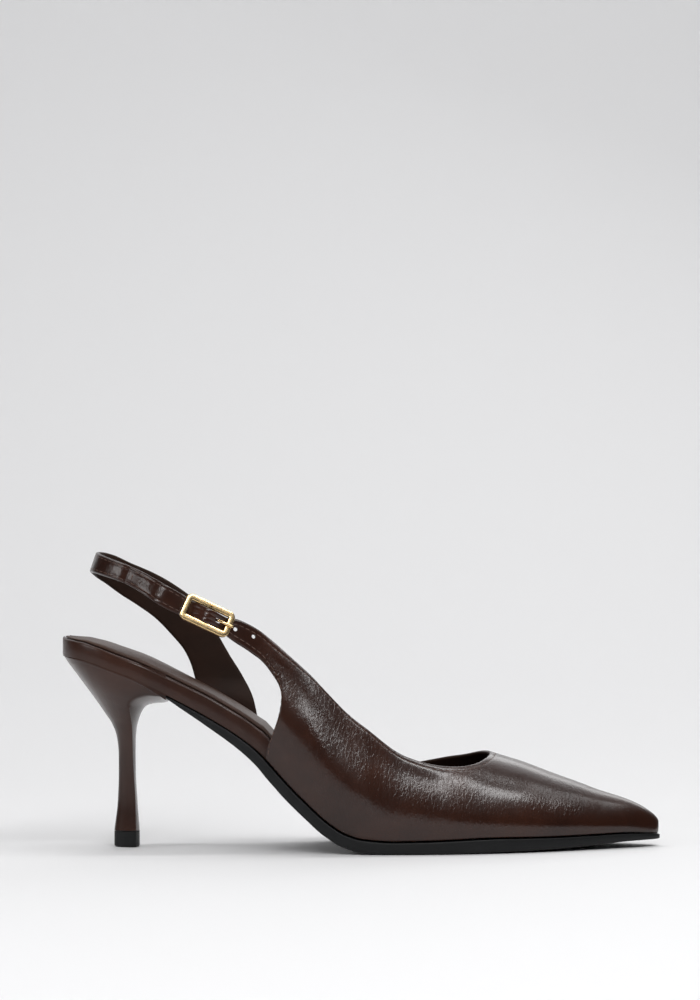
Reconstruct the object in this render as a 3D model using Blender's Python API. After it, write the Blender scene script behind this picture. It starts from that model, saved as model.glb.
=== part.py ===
"""Slingback pump, a right shoe on a slim flared heel.

Metres, +Z up, toe at +X, the lateral (outer) side at -Y. The sections are worked out in a
working frame whose x = 0 is the back of the heel seat and whose z = 0 is the floor. An empty
then carries every piece so that the origin is the middle of the shoe's footprint.
"""

import math

import bmesh
import bpy
import numpy as np

# Driving sizes of the last
SHOE_LENGTH = 0.245
SEAT_HEIGHT = 0.0790
BALL_WIDTH = 0.0765
SEAT_WIDTH = 0.052
INSTEP_HEIGHT = 0.090
TOE_SWING = 0.0035
TOE_SPRING = 0.0030

# Walls and thicknesses
UPPER_WALL = 0.0016
RIM_THICKNESS = 0.0070
TIP_ROOM = 0.0040
FOOTBED_THICKNESS = 0.0014
FOOTBED_INSET = 0.0022
SOLE_THICKNESS = 0.0046
EDGE_ROLL = 0.0003
TREAD_FLAT = 0.0001
GAP = 0.0003
SOLE_GAP = 0.00044

# Heel
HEEL_REACH = 0.0435
SOLE_START = 0.0410
COLUMN_PLACE = 0.0263
TOP_PIECE_LENGTH = 0.0104
TOP_PIECE_WIDTH = 0.0104
TOP_PIECE_HEIGHT = 0.0065
TIP_CORNER = 0.0006

# Strap and buckle
STRAP_WIDTH = 0.0082
STRAP_PASS = 0.0066
TAB_WALL = 0.0008
TAB_SEAM = 0.0277
BACK_STRAP_WALL = 0.0019
BUCKLE_PLACE = 0.0602
BUCKLE_LENGTH = 0.0215
BUCKLE_WIDTH = 0.0116
BUCKLE_CORNER = 0.0026
FRAME_WIRE = 0.0020
BAR_WIRE = 0.0016
BAR_DROP = 0.0014
PRONG_WIRE = 0.0010
PRONG_HOLE = 0.0040
PRONG_PLACE = 0.0047
HOLE_WIDTH = 0.0017
HOLE_STEP = 0.0081

LATERAL = -1.0
MEDIAL = 1.0
GOLD = (0.60, 0.38, 0.13), 0.25, 1.0
COVER = UPPER_WALL + GAP


def table(columns, *rows):
    """A table of sections, read by the names of its columns."""
    return dict(zip(columns.split(), np.array(rows, float).T))


def rounded(share):
    """Length shares spaced so that a width that grows evenly from an end leaves it round."""
    return np.arccos(1 - 2 * np.clip(share, 0, 1)) / math.pi


def curve(knots, values, at):
    """A smooth curve through the values, one per knot, that never swings past them."""
    step = np.diff(knots)
    rise = np.diff(values) / step
    before, after = rise[:-1], rise[1:]
    weight = (step[:-1] + 2 * step[1:]) / (3 * (step[:-1] + step[1:]))
    mixed = weight * after + (1 - weight) * before
    level = before * after <= 0
    inner = np.where(level, 0, before * after / np.where(level, 1, mixed))
    slope = np.concatenate([rise[:1], inner, rise[-1:]])
    i = np.clip(np.searchsorted(knots, at) - 1, 0, len(step) - 1)
    t = (at - knots[i]) / step[i]
    return (
        values[i] * (1 + 2 * t) * (1 - t) ** 2
        + values[i + 1] * t * t * (3 - 2 * t)
        + step[i] * t * (1 - t) * (slope[i] * (1 - t) - slope[i + 1] * t)
    )


def read(sections, column, x):
    """One column of a table of sections at the distance x from the back of the seat."""
    at = rounded(np.asarray(x, float) / SHOE_LENGTH)
    return curve(rounded(sections["station"]), sections[column], at)


def ramp(x, start, end):
    """0 before start, 1 after end and a soft step between them."""
    t = np.clip((np.asarray(x, float) - start) / (end - start), 0, 1)
    return t * t * (3 - 2 * t)


# Plan of the sole: half widths from the centre line, as shares of half the local width, which
# passes from SEAT_WIDTH to BALL_WIDTH. "swing" bends the centre line towards the big toe.
PLAN = table(
    "station lateral medial swing",
    (0.000, 0.000, 0.000, 0.00),
    (0.008, 0.360, 0.360, 0.00),
    (0.025, 0.610, 0.610, 0.00),
    (0.050, 0.785, 0.785, 0.00),
    (0.090, 0.940, 0.935, 0.00),
    (0.143, 1.000, 0.980, 0.00),
    (0.204, 0.965, 0.890, 0.00),
    (0.265, 0.900, 0.770, 0.00),
    (0.330, 0.850, 0.680, 0.03),
    (0.390, 0.900, 0.670, 0.08),
    (0.450, 0.985, 0.730, 0.15),
    (0.510, 1.025, 0.815, 0.23),
    (0.571, 1.035, 0.895, 0.32),
    (0.633, 1.015, 0.940, 0.44),
    (0.694, 0.960, 0.910, 0.57),
    (0.755, 0.865, 0.820, 0.70),
    (0.816, 0.720, 0.680, 0.82),
    (0.878, 0.535, 0.500, 0.91),
    (0.939, 0.330, 0.300, 0.97),
    (0.980, 0.170, 0.160, 1.00),
    (0.995, 0.083, 0.080, 1.00),
    (1.000, 0.000, 0.000, 1.00),
)

# Side view of the bottom. "arch" runs from 1 at the seat's back to 0 at the ball, "sole" is the
# outsole's thickness as a share of SOLE_THICKNESS, "spring" the share of TOE_SPRING and "rim" the
# insole's thickness as a share of RIM_THICKNESS.
PROFILE = table(
    "station arch sole spring rim",
    (0.000, 1.000, 0.10, 0.00, 1.02),
    (0.033, 0.978, 0.10, 0.00, 1.00),
    (0.057, 0.955, 0.10, 0.00, 0.98),
    (0.088, 0.918, 0.10, 0.00, 0.96),
    (0.121, 0.877, 0.10, 0.00, 0.96),
    (0.159, 0.817, 0.10, 0.00, 0.98),
    (0.209, 0.732, 0.44, 0.00, 1.00),
    (0.253, 0.651, 0.70, 0.00, 1.04),
    (0.299, 0.555, 0.86, 0.00, 1.02),
    (0.330, 0.472, 0.93, 0.00, 0.98),
    (0.352, 0.394, 0.95, 0.00, 0.95),
    (0.382, 0.286, 0.96, 0.00, 0.88),
    (0.413, 0.187, 0.97, 0.00, 0.80),
    (0.444, 0.098, 0.98, 0.00, 0.70),
    (0.472, 0.040, 1.00, 0.00, 0.60),
    (0.500, 0.012, 1.03, 0.00, 0.52),
    (0.551, 0.000, 1.02, 0.00, 0.50),
    (0.603, 0.000, 1.04, 0.02, 0.50),
    (0.708, 0.000, 1.10, 0.22, 0.50),
    (0.796, 0.000, 0.98, 0.33, 0.48),
    (0.880, 0.000, 0.80, 0.64, 0.45),
    (0.949, 0.000, 0.59, 0.98, 0.40),
    (0.980, 0.000, 0.46, 1.02, 0.36),
    (1.000, 0.000, 0.30, 1.05, 0.34),
)

# The last above its feather line. "instep" is the ridge's height over the feather line as a share
# of INSTEP_HEIGHT, "swell" how far the side stands out past the feather line as a share of the
# local half width, and "full" the roundness of the section: 2 is an ellipse, more is squarer.
LAST = table(
    "station instep swell full",
    (0.000, 1.090, 0.300, 2.60),
    (0.160, 1.062, 0.290, 2.60),
    (0.245, 1.034, 0.275, 2.60),
    (0.327, 1.000, 0.240, 2.55),
    (0.408, 0.930, 0.150, 2.45),
    (0.490, 0.778, 0.085, 2.35),
    (0.571, 0.578, 0.060, 2.20),
    (0.653, 0.440, 0.055, 2.10),
    (0.714, 0.363, 0.055, 2.00),
    (0.773, 0.314, 0.060, 1.95),
    (0.818, 0.268, 0.070, 1.90),
    (0.863, 0.223, 0.080, 1.90),
    (0.898, 0.186, 0.085, 1.90),
    (0.924, 0.163, 0.080, 1.95),
    (0.949, 0.140, 0.070, 2.00),
    (0.967, 0.120, 0.050, 2.00),
    (0.984, 0.094, 0.030, 2.00),
    (0.9925, 0.076, 0.010, 2.00),
    (0.9988, 0.050, 0.000, 2.00),
    (1.000, 0.000, 0.000, 2.00),
)
SWELL_TOP = 0.30

# Edges of the upper, from the strap's end forwards. "girth" is 0 on the feather line and 1 on the
# ridge. CUT_OUT is the strap's lower edge and the rear edge of the quarter, down to its corner.
CUT_OUT = table(
    "station girth",
    (0.199, 0.250),
    (0.239, 0.262),
    (0.268, 0.2705),
    (0.286, 0.268),
    (0.317, 0.276),
    (0.346, 0.284),
    (0.361, 0.276),
    (0.367, 0.258),
    (0.368, 0.236),
    (0.366, 0.204),
    (0.362, 0.166),
    (0.356, 0.122),
    (0.350, 0.082),
    (0.344, 0.040),
    (0.341, 0.000),
)
TOPLINE_REAR = table(
    "station girth",
    (0.211, 0.309),
    (0.252, 0.316),
    (0.278, 0.327),
    (0.294, 0.346),
    (0.316, 0.364),
    (0.345, 0.388),
    (0.378, 0.418),
    (0.421, 0.450),
    (0.462, 0.468),
)
TOPLINE_THROAT = table(
    "station girth",
    (0.462, 0.468),
    (0.493, 0.470),
    (0.526, 0.466),
    (0.578, 0.458),
    (0.630, 0.492),
    (0.673, 0.572),
    (0.698, 0.690),
    (0.712, 0.850),
    (0.716, 1.000),
)
TOPLINE_MEDIAL = table(
    "station girth",
    (0.716, 1.000),
    (0.706, 0.860),
    (0.682, 0.660),
    (0.637, 0.492),
    (0.592, 0.374),
    (0.551, 0.278),
    (0.510, 0.178),
    (0.469, 0.090),
    (0.437, 0.040),
)
MEDIAL_CORNER = 0.433

# The strap's centre line on the lateral side: its height over the feather line as a share of
# INSTEP_HEIGHT.
STRAP_LINE = table(
    "station rise",
    (0.100, 0.457),
    (0.158, 0.453),
    (0.203, 0.449),
    (0.245, 0.453),
    (0.286, 0.471),
    (0.321, 0.503),
)

# The sling round the heel and down the medial side. Both edges: place along the shoe, height over
# the feather line as a share of INSTEP_HEIGHT, and distance from the centre line as a share of
# half the SEAT_WIDTH.
SLING = table(
    "top_station top_rise top_reach low_station low_rise low_reach",
    (0.118, 0.501, -0.880, 0.108, 0.414, -0.900),
    (0.080, 0.500, -0.600, 0.069, 0.410, -0.620),
    (0.060, 0.500, -0.300, 0.048, 0.405, -0.320),
    (0.0545, 0.502, 0.000, 0.0425, 0.396, 0.000),
    (0.060, 0.505, 0.270, 0.047, 0.383, 0.300),
    (0.077, 0.507, 0.540, 0.064, 0.362, 0.560),
    (0.106, 0.498, 0.770, 0.088, 0.336, 0.790),
    (0.143, 0.497, 0.920, 0.116, 0.314, 0.930),
    (0.182, 0.489, 1.010, 0.149, 0.289, 1.010),
    (0.219, 0.462, 1.050, 0.176, 0.250, 1.045),
    (0.250, 0.383, 1.060, 0.198, 0.208, 1.050),
    (0.275, 0.306, 1.040, 0.209, 0.163, 1.040),
    (0.300, 0.238, 1.000, 0.217, 0.102, 1.000),
)
BASE_LEAN = 0.25
SLING_BASE = ((0.320, 0.150), (0.223, 0.055)), ((0.331, 0.0), (0.229, 0.0))

# Sections of the heel from the seat down. x from the seat's back as shares of HEEL_REACH, heights
# as shares of SEAT_HEIGHT, "width" as a share of SEAT_WIDTH. "crease" is the edge between the side
# and the breast, "front" the middle of the breast, "square" how far the side follows the seat.
HEEL = table(
    "back_x back_z crease_x crease_z front_x front_z width square",
    (0.018, 0.984, 1.000, 0.776, 1.000, 0.760, 0.985, 1.00),
    (0.046, 0.960, 0.925, 0.800, 0.955, 0.748, 0.965, 0.95),
    (0.100, 0.920, 0.828, 0.804, 0.890, 0.745, 0.925, 0.85),
    (0.163, 0.874, 0.731, 0.791, 0.837, 0.740, 0.850, 0.70),
    (0.225, 0.828, 0.669, 0.771, 0.795, 0.732, 0.755, 0.50),
    (0.290, 0.779, 0.644, 0.742, 0.763, 0.716, 0.645, 0.35),
    (0.345, 0.736, 0.648, 0.710, 0.738, 0.692, 0.545, 0.20),
    (0.402, 0.690, 0.657, 0.670, 0.717, 0.662, 0.435, 0.10),
    (0.464, 0.637, 0.664, 0.622, 0.697, 0.618, 0.325, 0.00),
    (0.508, 0.569, 0.664, 0.562, 0.688, 0.562, 0.238, 0.00),
    (0.525, 0.483, 0.664, 0.483, 0.686, 0.483, 0.180, 0.00),
    (0.526, 0.383, 0.674, 0.383, 0.688, 0.383, 0.165, 0.00),
    (0.518, 0.244, 0.690, 0.244, 0.702, 0.244, 0.172, 0.00),
)
HEEL_RUN = np.array([0.015, 0.06, 0.134, 0.234, 0.357, 0.50, 0.65, 0.78, 0.88, 0.94, 1.0])
HEEL_SIDE = len(HEEL_RUN)
BREAST = 8

STATIONS = 58
UPPER_ROWS = 12
STRAP_COLUMNS = 22
STRAP_ACROSS = 4
LATERAL_COLUMNS = 30
MEDIAL_COLUMNS = 24


def local_width(x):
    """The shoe's reference width at x: the seat's behind the waist, the ball's in front of it."""
    return SEAT_WIDTH + (BALL_WIDTH - SEAT_WIDTH) * ramp(x, 0.22 * SHOE_LENGTH, 0.52 * SHOE_LENGTH)


def centre_line(x):
    return TOE_SWING * read(PLAN, "swing", x)


def sole_reach(x, side):
    """Half width of the sole's outline, from the centre line."""
    name = "lateral" if side < 0 else "medial"
    return read(PLAN, name, x) * local_width(x) / 2


def cover(x, side):
    """How far the rim stands in from the sole's edge, to leave room for leather on its side."""
    if side < 0:
        return COVER * ramp(x, 0.29 * SHOE_LENGTH, 0.35 * SHOE_LENGTH)
    return COVER * ramp(x, 0.16 * SHOE_LENGTH, 0.205 * SHOE_LENGTH)


def sole_depth(x):
    """The outsole's thickness at its edge, square to the profile."""
    return SOLE_THICKNESS * read(PROFILE, "sole", x)


def ball_level(x):
    """Height of the feather line where the arch adds nothing."""
    thick = SOLE_THICKNESS * np.minimum(read(PROFILE, "sole", np.maximum(x, 0.5 * SHOE_LENGTH)), 2)
    return GAP + thick + EDGE_ROLL + TOE_SPRING * read(PROFILE, "spring", x)


def feather(x):
    """Height of the feather line, where the upper and the insole meet the outsole."""
    arch = read(PROFILE, "arch", x)
    return ball_level(x) * (1 - arch) + SEAT_HEIGHT * arch


def slant(x):
    """Length of the profile for each unit of x."""
    step = 0.002 * SHOE_LENGTH
    rise = feather(np.minimum(x + step, SHOE_LENGTH)) - feather(np.maximum(x - step, 0))
    return np.sqrt(1 + (rise / (2 * step)) ** 2)


def rim_top(x):
    """Height of the insole's upper face."""
    return feather(x) + RIM_THICKNESS * read(PROFILE, "rim", x) * slant(x)


def edge_roll(x):
    return EDGE_ROLL * ramp(x, 1.15 * HEEL_REACH, 0.33 * SHOE_LENGTH)


def sole_edge(x):
    """Height of the outsole's lower edge."""
    return feather(x) - GAP - sole_depth(x) * slant(x)


def instep(x):
    return INSTEP_HEIGHT * read(LAST, "instep", x)


def upper_reach(x, side):
    """Half width of the upper's outer face at the feather line."""
    return sole_reach(x, side) - cover(x, side) + COVER


def surface(x, girth, side):
    """Points of the upper's outer face: girth 0 on the feather line, 1 on the ridge."""
    rise = np.sin(np.clip(girth, 0, 1) * math.pi / 2)
    swell = 1 - (1 - np.minimum(rise / SWELL_TOP, 1)) ** 2
    edge = np.where(side < 0, upper_reach(x, LATERAL), upper_reach(x, MEDIAL))
    edge = edge * (1 + read(LAST, "swell", x) * swell)
    across = edge * np.sqrt(np.maximum(1 - rise ** read(LAST, "full", x), 0))
    return np.stack([x, centre_line(x) + side * across, feather(x) + instep(x) * rise], axis=-1)


def half_girth(x, side):
    """Length round half the section, from feather line to ridge, near enough to lay it flat."""
    reach = np.where(side < 0, upper_reach(x, LATERAL), upper_reach(x, MEDIAL))
    return math.pi / 2 * np.sqrt((reach**2 + instep(x) ** 2) / 2)


def flat_pattern(x, girth, side):
    """The upper laid flat: the place along the shoe and the distance round from the ridge."""
    return np.stack([x, side * (1 - girth) * half_girth(x, side)], axis=-1)


def along(points, count):
    """Points at even steps along a smooth line through the given ones."""
    points = np.asarray(points, float)
    run = np.concatenate([[0], np.cumsum(np.linalg.norm(np.diff(points, axis=0), axis=1))])
    fine = np.linspace(0, run[-1], 40 * len(points))
    dense = np.stack([curve(run, column, fine) for column in points.T], axis=-1)
    length = np.concatenate([[0], np.cumsum(np.linalg.norm(np.diff(dense, axis=0), axis=1))])
    even = np.linspace(0, length[-1], count)
    return np.stack([np.interp(even, length, column) for column in dense.T], axis=-1)


def edge_line(edge, side, count):
    """One of the upper's edges in the flat pattern."""
    x = edge["station"] * SHOE_LENGTH
    return along(flat_pattern(x, edge["girth"], side), count)


def feather_line(start, end, side, count):
    """The feather line in the flat pattern, from one station to another."""
    spread = np.linspace(rounded(start), rounded(end), 8 * count)
    x = SHOE_LENGTH * (1 - np.cos(math.pi * spread)) / 2
    return along(flat_pattern(x, 0 * x, side), count)


def upper_grid():
    """The upper's outer face: columns from the strap's end round the toe to the medial corner."""
    corner = CUT_OUT["station"][-1]
    lower = [
        edge_line(CUT_OUT, LATERAL, STRAP_COLUMNS + 1),
        feather_line(corner, 1, LATERAL, LATERAL_COLUMNS + 1)[1:],
        feather_line(1, MEDIAL_CORNER, MEDIAL, MEDIAL_COLUMNS + 1)[1:],
    ]
    higher = [
        edge_line(TOPLINE_REAR, LATERAL, STRAP_COLUMNS + 1),
        edge_line(TOPLINE_THROAT, LATERAL, LATERAL_COLUMNS + 1)[1:],
        edge_line(TOPLINE_MEDIAL, MEDIAL, MEDIAL_COLUMNS + 1)[1:],
    ]
    lower, higher = np.concatenate(lower), np.concatenate(higher)
    column = np.arange(len(lower)) - STRAP_COLUMNS - LATERAL_COLUMNS
    crowd = 1 + np.exp(-((column / 7) ** 2))
    share = (np.linspace(0, 1, UPPER_ROWS + 1)[None, :] ** crowd[:, None])[..., None]
    flat = lower[:, None] * (1 - share) + higher[:, None] * share
    x, around = flat[..., 0], flat[..., 1]
    side = np.where(around < 0, LATERAL, MEDIAL)
    girth = 1 - np.abs(around) / np.maximum(half_girth(x, side), GAP)
    return surface(x, girth, side)


def normals(grid):
    """Directions square to a grid of points, towards the side that faces away from the foot."""
    first = np.gradient(grid, axis=0)
    second = np.gradient(grid, axis=1)
    face = np.cross(first, second)
    length = np.linalg.norm(face, axis=-1, keepdims=True)
    return face / np.maximum(length, 1e-12)


def new_mesh(name, points, faces, colour, roughness, metallic=0.0):
    """An object of the given name, with its faces turned outwards and its own material."""
    mesh = bpy.data.meshes.new(name)
    mesh.from_pydata([tuple(p) for p in points], [], faces)
    tidy = bmesh.new()
    tidy.from_mesh(mesh)
    bmesh.ops.remove_doubles(tidy, verts=tidy.verts, dist=2e-6)
    bmesh.ops.recalc_face_normals(tidy, faces=tidy.faces)
    tidy.to_mesh(mesh)
    tidy.free()
    mesh.shade_smooth()
    mesh.set_sharp_from_angle(angle=math.radians(40))
    thing = bpy.data.objects.new(name, mesh)
    bpy.context.collection.objects.link(thing)
    material = bpy.data.materials.new(name)
    material.use_nodes = True
    shader = material.node_tree.nodes["Principled BSDF"]
    shader.inputs["Base Color"].default_value = (*colour, 1)
    shader.inputs["Roughness"].default_value = roughness
    shader.inputs["Metallic"].default_value = metallic
    mesh.materials.append(material)
    return thing


def shell_faces(columns, rows):
    """Faces of a closed sheet: an outer grid of points, then an inner one of the same shape."""
    inner = columns * rows
    faces = []
    for i in range(columns - 1):
        for j in range(rows - 1):
            a, b = i * rows + j, (i + 1) * rows + j
            faces.append((a, b, b + 1, a + 1))
            faces.append((inner + a, inner + a + 1, inner + b + 1, inner + b))
    for i in range(columns - 1):
        for j in (0, rows - 1):
            a, b = i * rows + j, (i + 1) * rows + j
            faces.append((a, b, inner + b, inner + a))
    for j in range(rows - 1):
        for i in (0, columns - 1):
            a = i * rows + j
            faces.append((a, a + 1, inner + a + 1, inner + a))
    return faces


def sheet(name, outer, inner, *looks):
    """A closed solid between two grids of points of the same shape."""
    columns, rows = outer.shape[:2]
    points = np.concatenate([outer.reshape(-1, 3), inner.reshape(-1, 3)])
    return new_mesh(name, points, shell_faces(columns, rows), *looks)


def tube_faces(rings, sides, closed):
    """Faces of a tube through rings of points: a closed loop, or one with both ends capped."""
    faces = []
    for i in range(rings if closed else rings - 1):
        k = (i + 1) % rings
        for j in range(sides):
            n = (j + 1) % sides
            faces.append((i * sides + j, i * sides + n, k * sides + n, k * sides + j))
    if not closed:
        faces.append(tuple(range(sides)))
        faces.append(tuple((rings - 1) * sides + j for j in range(sides)))
    return faces


def tube(name, path, radius, closed, sides, *looks):
    """A round wire along a path; radius is one number or one for each point of the path."""
    path = np.asarray(path, float)
    radius = np.broadcast_to(radius, len(path))
    if closed:
        ahead = np.roll(path, -1, axis=0) - np.roll(path, 1, axis=0)
    else:
        ahead = np.gradient(path, axis=0)
    ahead = ahead / np.linalg.norm(ahead, axis=1, keepdims=True)
    spin = np.arange(sides) * 2 * math.pi / sides
    rings = []
    up = buckle_axes()[3]
    for point, way, size in zip(path, ahead, radius):
        across = np.cross(way, up)
        across = across / np.linalg.norm(across)
        out = np.cross(across, way)
        turn = np.cos(spin)[:, None] * across + np.sin(spin)[:, None] * out
        rings.append(point + size * turn)
    points = np.concatenate(rings)
    return new_mesh(name, points, tube_faces(len(path), sides, closed), *looks)


def stations(start, end, count=STATIONS):
    """The shoe's common stations between start and end, closer together near the shoe's ends."""
    common = SHOE_LENGTH * (1 - np.cos(np.linspace(0, math.pi, count))) / 2
    inside = common[(common > start + GAP) & (common < end - GAP)]
    return np.concatenate([[start], inside, [end]])


def plan_rows(places, side_reach, shares):
    """Points across the shoe at each station: shares run from -1 (lateral) to 1 (medial)."""
    x = np.repeat(places[:, None], len(shares), axis=1)
    lateral, medial = side_reach(places, LATERAL), side_reach(places, MEDIAL)
    reach = np.where(shares[None, :] < 0, lateral[:, None], medial[:, None])
    return x, centre_line(x) + shares[None, :] * reach


def slab(name, places, side_reach, shares, top, bottom, *looks):
    """A solid between two faces over a plan outline; top and bottom take x and the share across."""
    x, y = plan_rows(places, side_reach, shares)
    across = np.repeat(shares[None, :], len(places), axis=0)
    upper_face = np.stack([x, y, top(x, across)], axis=-1)
    lower_face = np.stack([x, y, bottom(x, across)], axis=-1)
    return sheet(name, upper_face, lower_face, *looks)


def inset_reach(reach, inset):
    """An outline moved inwards by inset, square to itself."""

    def inner(x, side):
        step = 0.001 * SHOE_LENGTH
        ahead = reach(np.minimum(x + step, SHOE_LENGTH), side)
        behind = reach(np.maximum(x - step, 0), side)
        lean = (ahead - behind) / (2 * step)
        return np.maximum(reach(x, side) - inset * np.sqrt(1 + lean**2), 0)

    return inner


def ends_of(reach):
    """The stations where an inset outline closes, at the seat's back and at the toe."""
    x = stations(0, SHOE_LENGTH, 1200)
    open_here = np.minimum(reach(x, LATERAL), reach(x, MEDIAL)) > GAP
    inside = x[open_here]
    return inside[0], inside[-1]


def rim_outline(x, side):
    """The insole's outline: flush with the heel behind, clear of the upper's wall in front."""
    step = 0.001 * SHOE_LENGTH
    ahead = sole_reach(np.minimum(x + step, SHOE_LENGTH), side)
    behind = sole_reach(np.maximum(x - step, 0), side)
    lean = (ahead - behind) / (2 * step)
    return np.maximum(sole_reach(x, side) - cover(x, side) * np.sqrt(1 + lean**2), 0)


def insole():
    """The insole in its leather wrap, from the back of the seat into the toe."""
    return slab(
        "insole",
        stations(0, SHOE_LENGTH - TIP_ROOM),
        rim_outline,
        np.array([-1, -0.5, 0, 0.5, 1]),
        lambda x, s: rim_top(x),
        lambda x, s: feather(x),
        (0.060, 0.045, 0.040),
        0.38,
    )


def pad_depth(x):
    """The footbed's thickness, skived thinner at the back of the seat."""
    return FOOTBED_THICKNESS * (0.45 + 0.55 * ramp(x, 0.01 * SHOE_LENGTH, 0.09 * SHOE_LENGTH))


def footbed():
    """The padded sock on the insole, a little narrower than the rim, slightly domed."""
    reach = inset_reach(rim_outline, FOOTBED_INSET)
    start, end = ends_of(reach)
    shares = np.array([-1, -0.55, 0, 0.55, 1])
    return slab(
        "footbed",
        stations(start, end),
        reach,
        shares,
        lambda x, s: rim_top(x) + slant(x) * (GAP + pad_depth(x) * (1 - 0.3 * s * s)),
        lambda x, s: rim_top(x) + slant(x) * GAP,
        (0.115, 0.085, 0.072),
        0.55,
    )


def outsole():
    """The black unit sole, thin at its tail on the heel, rolled up at its edge, sprung at the toe."""
    shares = np.array([-1, -0.94, -0.84, -0.72, 0, 0.72, 0.84, 0.94, 1])

    def under(x, s):
        roll = np.clip((np.abs(s) - 0.72) / 0.28, 0, 1) ** 2
        depth = (edge_roll(x) + TREAD_FLAT) * np.minimum(sole_reach(x, LATERAL) / SOLE_THICKNESS, 1)
        return np.maximum(sole_edge(x) - depth * (1 - roll), 0)

    return slab(
        "outsole",
        stations(SOLE_START, SHOE_LENGTH),
        sole_reach,
        shares,
        lambda x, s: feather(x) - SOLE_GAP * slant(x),
        under,
        (0.022, 0.023, 0.024),
        0.5,
    )


def heel_ring(row):
    """One section of the heel: round the back from crease to crease, then across the breast."""
    back_x, back_z, crease_x, crease_z, front_x, front_z, half, square = row
    run = np.concatenate([HEEL_RUN[::-1], [0], HEEL_RUN])
    side_of = np.repeat([LATERAL, 0, MEDIAL], [HEEL_SIDE, 1, HEEL_SIDE])
    x = back_x + (crease_x - back_x) * run
    reach = np.where(
        side_of < 0,
        sole_reach(HEEL_REACH * run, LATERAL),
        sole_reach(HEEL_REACH * run, MEDIAL),
    )
    oval = np.sqrt(1 - (1 - run) ** 2)
    y = side_of * half * (square * reach / (SEAT_WIDTH / 2) + (1 - square) * oval)
    chord = seat_top(back_x) * (1 - run) + seat_top(crease_x) * run
    z = back_z + (crease_z - back_z) * run + square * (seat_top(x) - chord)
    side = np.stack([x, y, z], axis=-1)
    u = np.linspace(1, -1, BREAST + 1)[1:-1]
    front = np.stack(
        [
            crease_x + (front_x - crease_x) * (1 - u * u),
            np.where(u > 0, u * y[-1], -u * y[0]),
            crease_z + (front_z - crease_z) * (1 - u * u),
        ],
        axis=-1,
    )
    return np.concatenate([side, front])


def tip_row(height):
    """The heel's section at the given height of its straight tip."""
    back = COLUMN_PLACE - TOP_PIECE_LENGTH / 2
    front = COLUMN_PLACE + TOP_PIECE_LENGTH / 2
    crease = front - 0.12 * TOP_PIECE_LENGTH
    return (back, height, crease, height, front, height, TOP_PIECE_WIDTH / 2, 0)


def seat_row():
    """The heel's top ring, which follows the underside of the insole and of the sole's tail."""
    return (0.0, SEAT_HEIGHT, HEEL_REACH, SEAT_HEIGHT, HEEL_REACH, SEAT_HEIGHT, SEAT_WIDTH / 2, 1)


def seat_top(x):
    """Height of the heel's top: under the insole, and in front under the outsole's tail."""
    tail = ramp(x, 0.85 * SOLE_START, 0.98 * SOLE_START)
    return feather(x) - GAP - tail * (sole_depth(x) * slant(x) + GAP)


def heel():
    """The leather-covered heel: a wide seat drawn into a slim column with a convex breast."""
    top = heel_ring(seat_row())
    top[:, 2] = seat_top(top[:, 0])
    rings = [top]
    scale = (HEEL_REACH, SEAT_HEIGHT) * 3 + (SEAT_WIDTH / 2, 1)
    names = "back_x back_z crease_x crease_z front_x front_z width square".split()
    rows = np.stack([HEEL[name] for name in names], axis=-1) * np.array(scale)
    rings += [heel_ring(row) for row in rows]
    rings.append(heel_ring(tip_row(TOP_PIECE_HEIGHT + GAP)))
    count = len(top)
    faces = tube_faces(len(rings), count, False)[:-2] + ladder_cap()
    faces.append(tuple((len(rings) - 1) * count + j for j in range(count)))
    return new_mesh("heel", np.concatenate(rings), faces, (0.056, 0.038, 0.033), 0.36)


def ladder_cap():
    """Faces across the heel's top ring, each between two points that lie at one station."""
    back, front = HEEL_SIDE, 2 * HEEL_SIDE
    faces = [(back, back - 1, back + 1)]
    for k in range(1, HEEL_SIDE):
        faces.append((back - k, back - k - 1, back + k + 1, back + k))
    faces.append((0, front, *range(front + 1, front + BREAST)))
    return faces


def top_piece():
    """The black wear piece under the heel; its lower face stands on the floor."""
    low = heel_ring(tip_row(0.0))
    bevel = heel_ring(tip_row(TIP_CORNER))
    high = heel_ring(tip_row(TOP_PIECE_HEIGHT))
    middle = np.array([COLUMN_PLACE, 0, 0])
    low = middle + (low - middle) * (1 - 2 * TIP_CORNER / TOP_PIECE_LENGTH)
    rings = [low, bevel, high]
    faces = tube_faces(len(rings), len(low), False)
    return new_mesh("top_piece", np.concatenate(rings), faces, (0.018, 0.019, 0.020), 0.5)


def side_point(x, height):
    """A point of the lateral surface at the given place and height over the feather line."""
    x = np.asarray(x, float)
    girth = np.arcsin(np.clip(height / instep(x), 0, 1)) * 2 / math.pi
    return surface(x, girth, np.full_like(x, LATERAL))


def strap_edges(x, width):
    """The two edges of the strap on the lateral side, square to its run, centred at x."""
    x = np.asarray(x, float)
    step = 0.004 * SHOE_LENGTH
    here = INSTEP_HEIGHT * read(STRAP_LINE, "rise", x)
    ahead = feather(x + step) + INSTEP_HEIGHT * read(STRAP_LINE, "rise", x + step)
    behind = feather(x - step) + INSTEP_HEIGHT * read(STRAP_LINE, "rise", x - step)
    slope = (ahead - behind) / (2 * step)
    lean = np.arctan(slope)
    level = feather(x) + here
    edges = []
    for way in (1, -1):
        edge_x = x - way * np.sin(lean) * width / 2
        edge_z = level + way * np.cos(lean) * width / 2
        edges.append(side_point(edge_x, edge_z - feather(edge_x)))
    return edges


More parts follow.
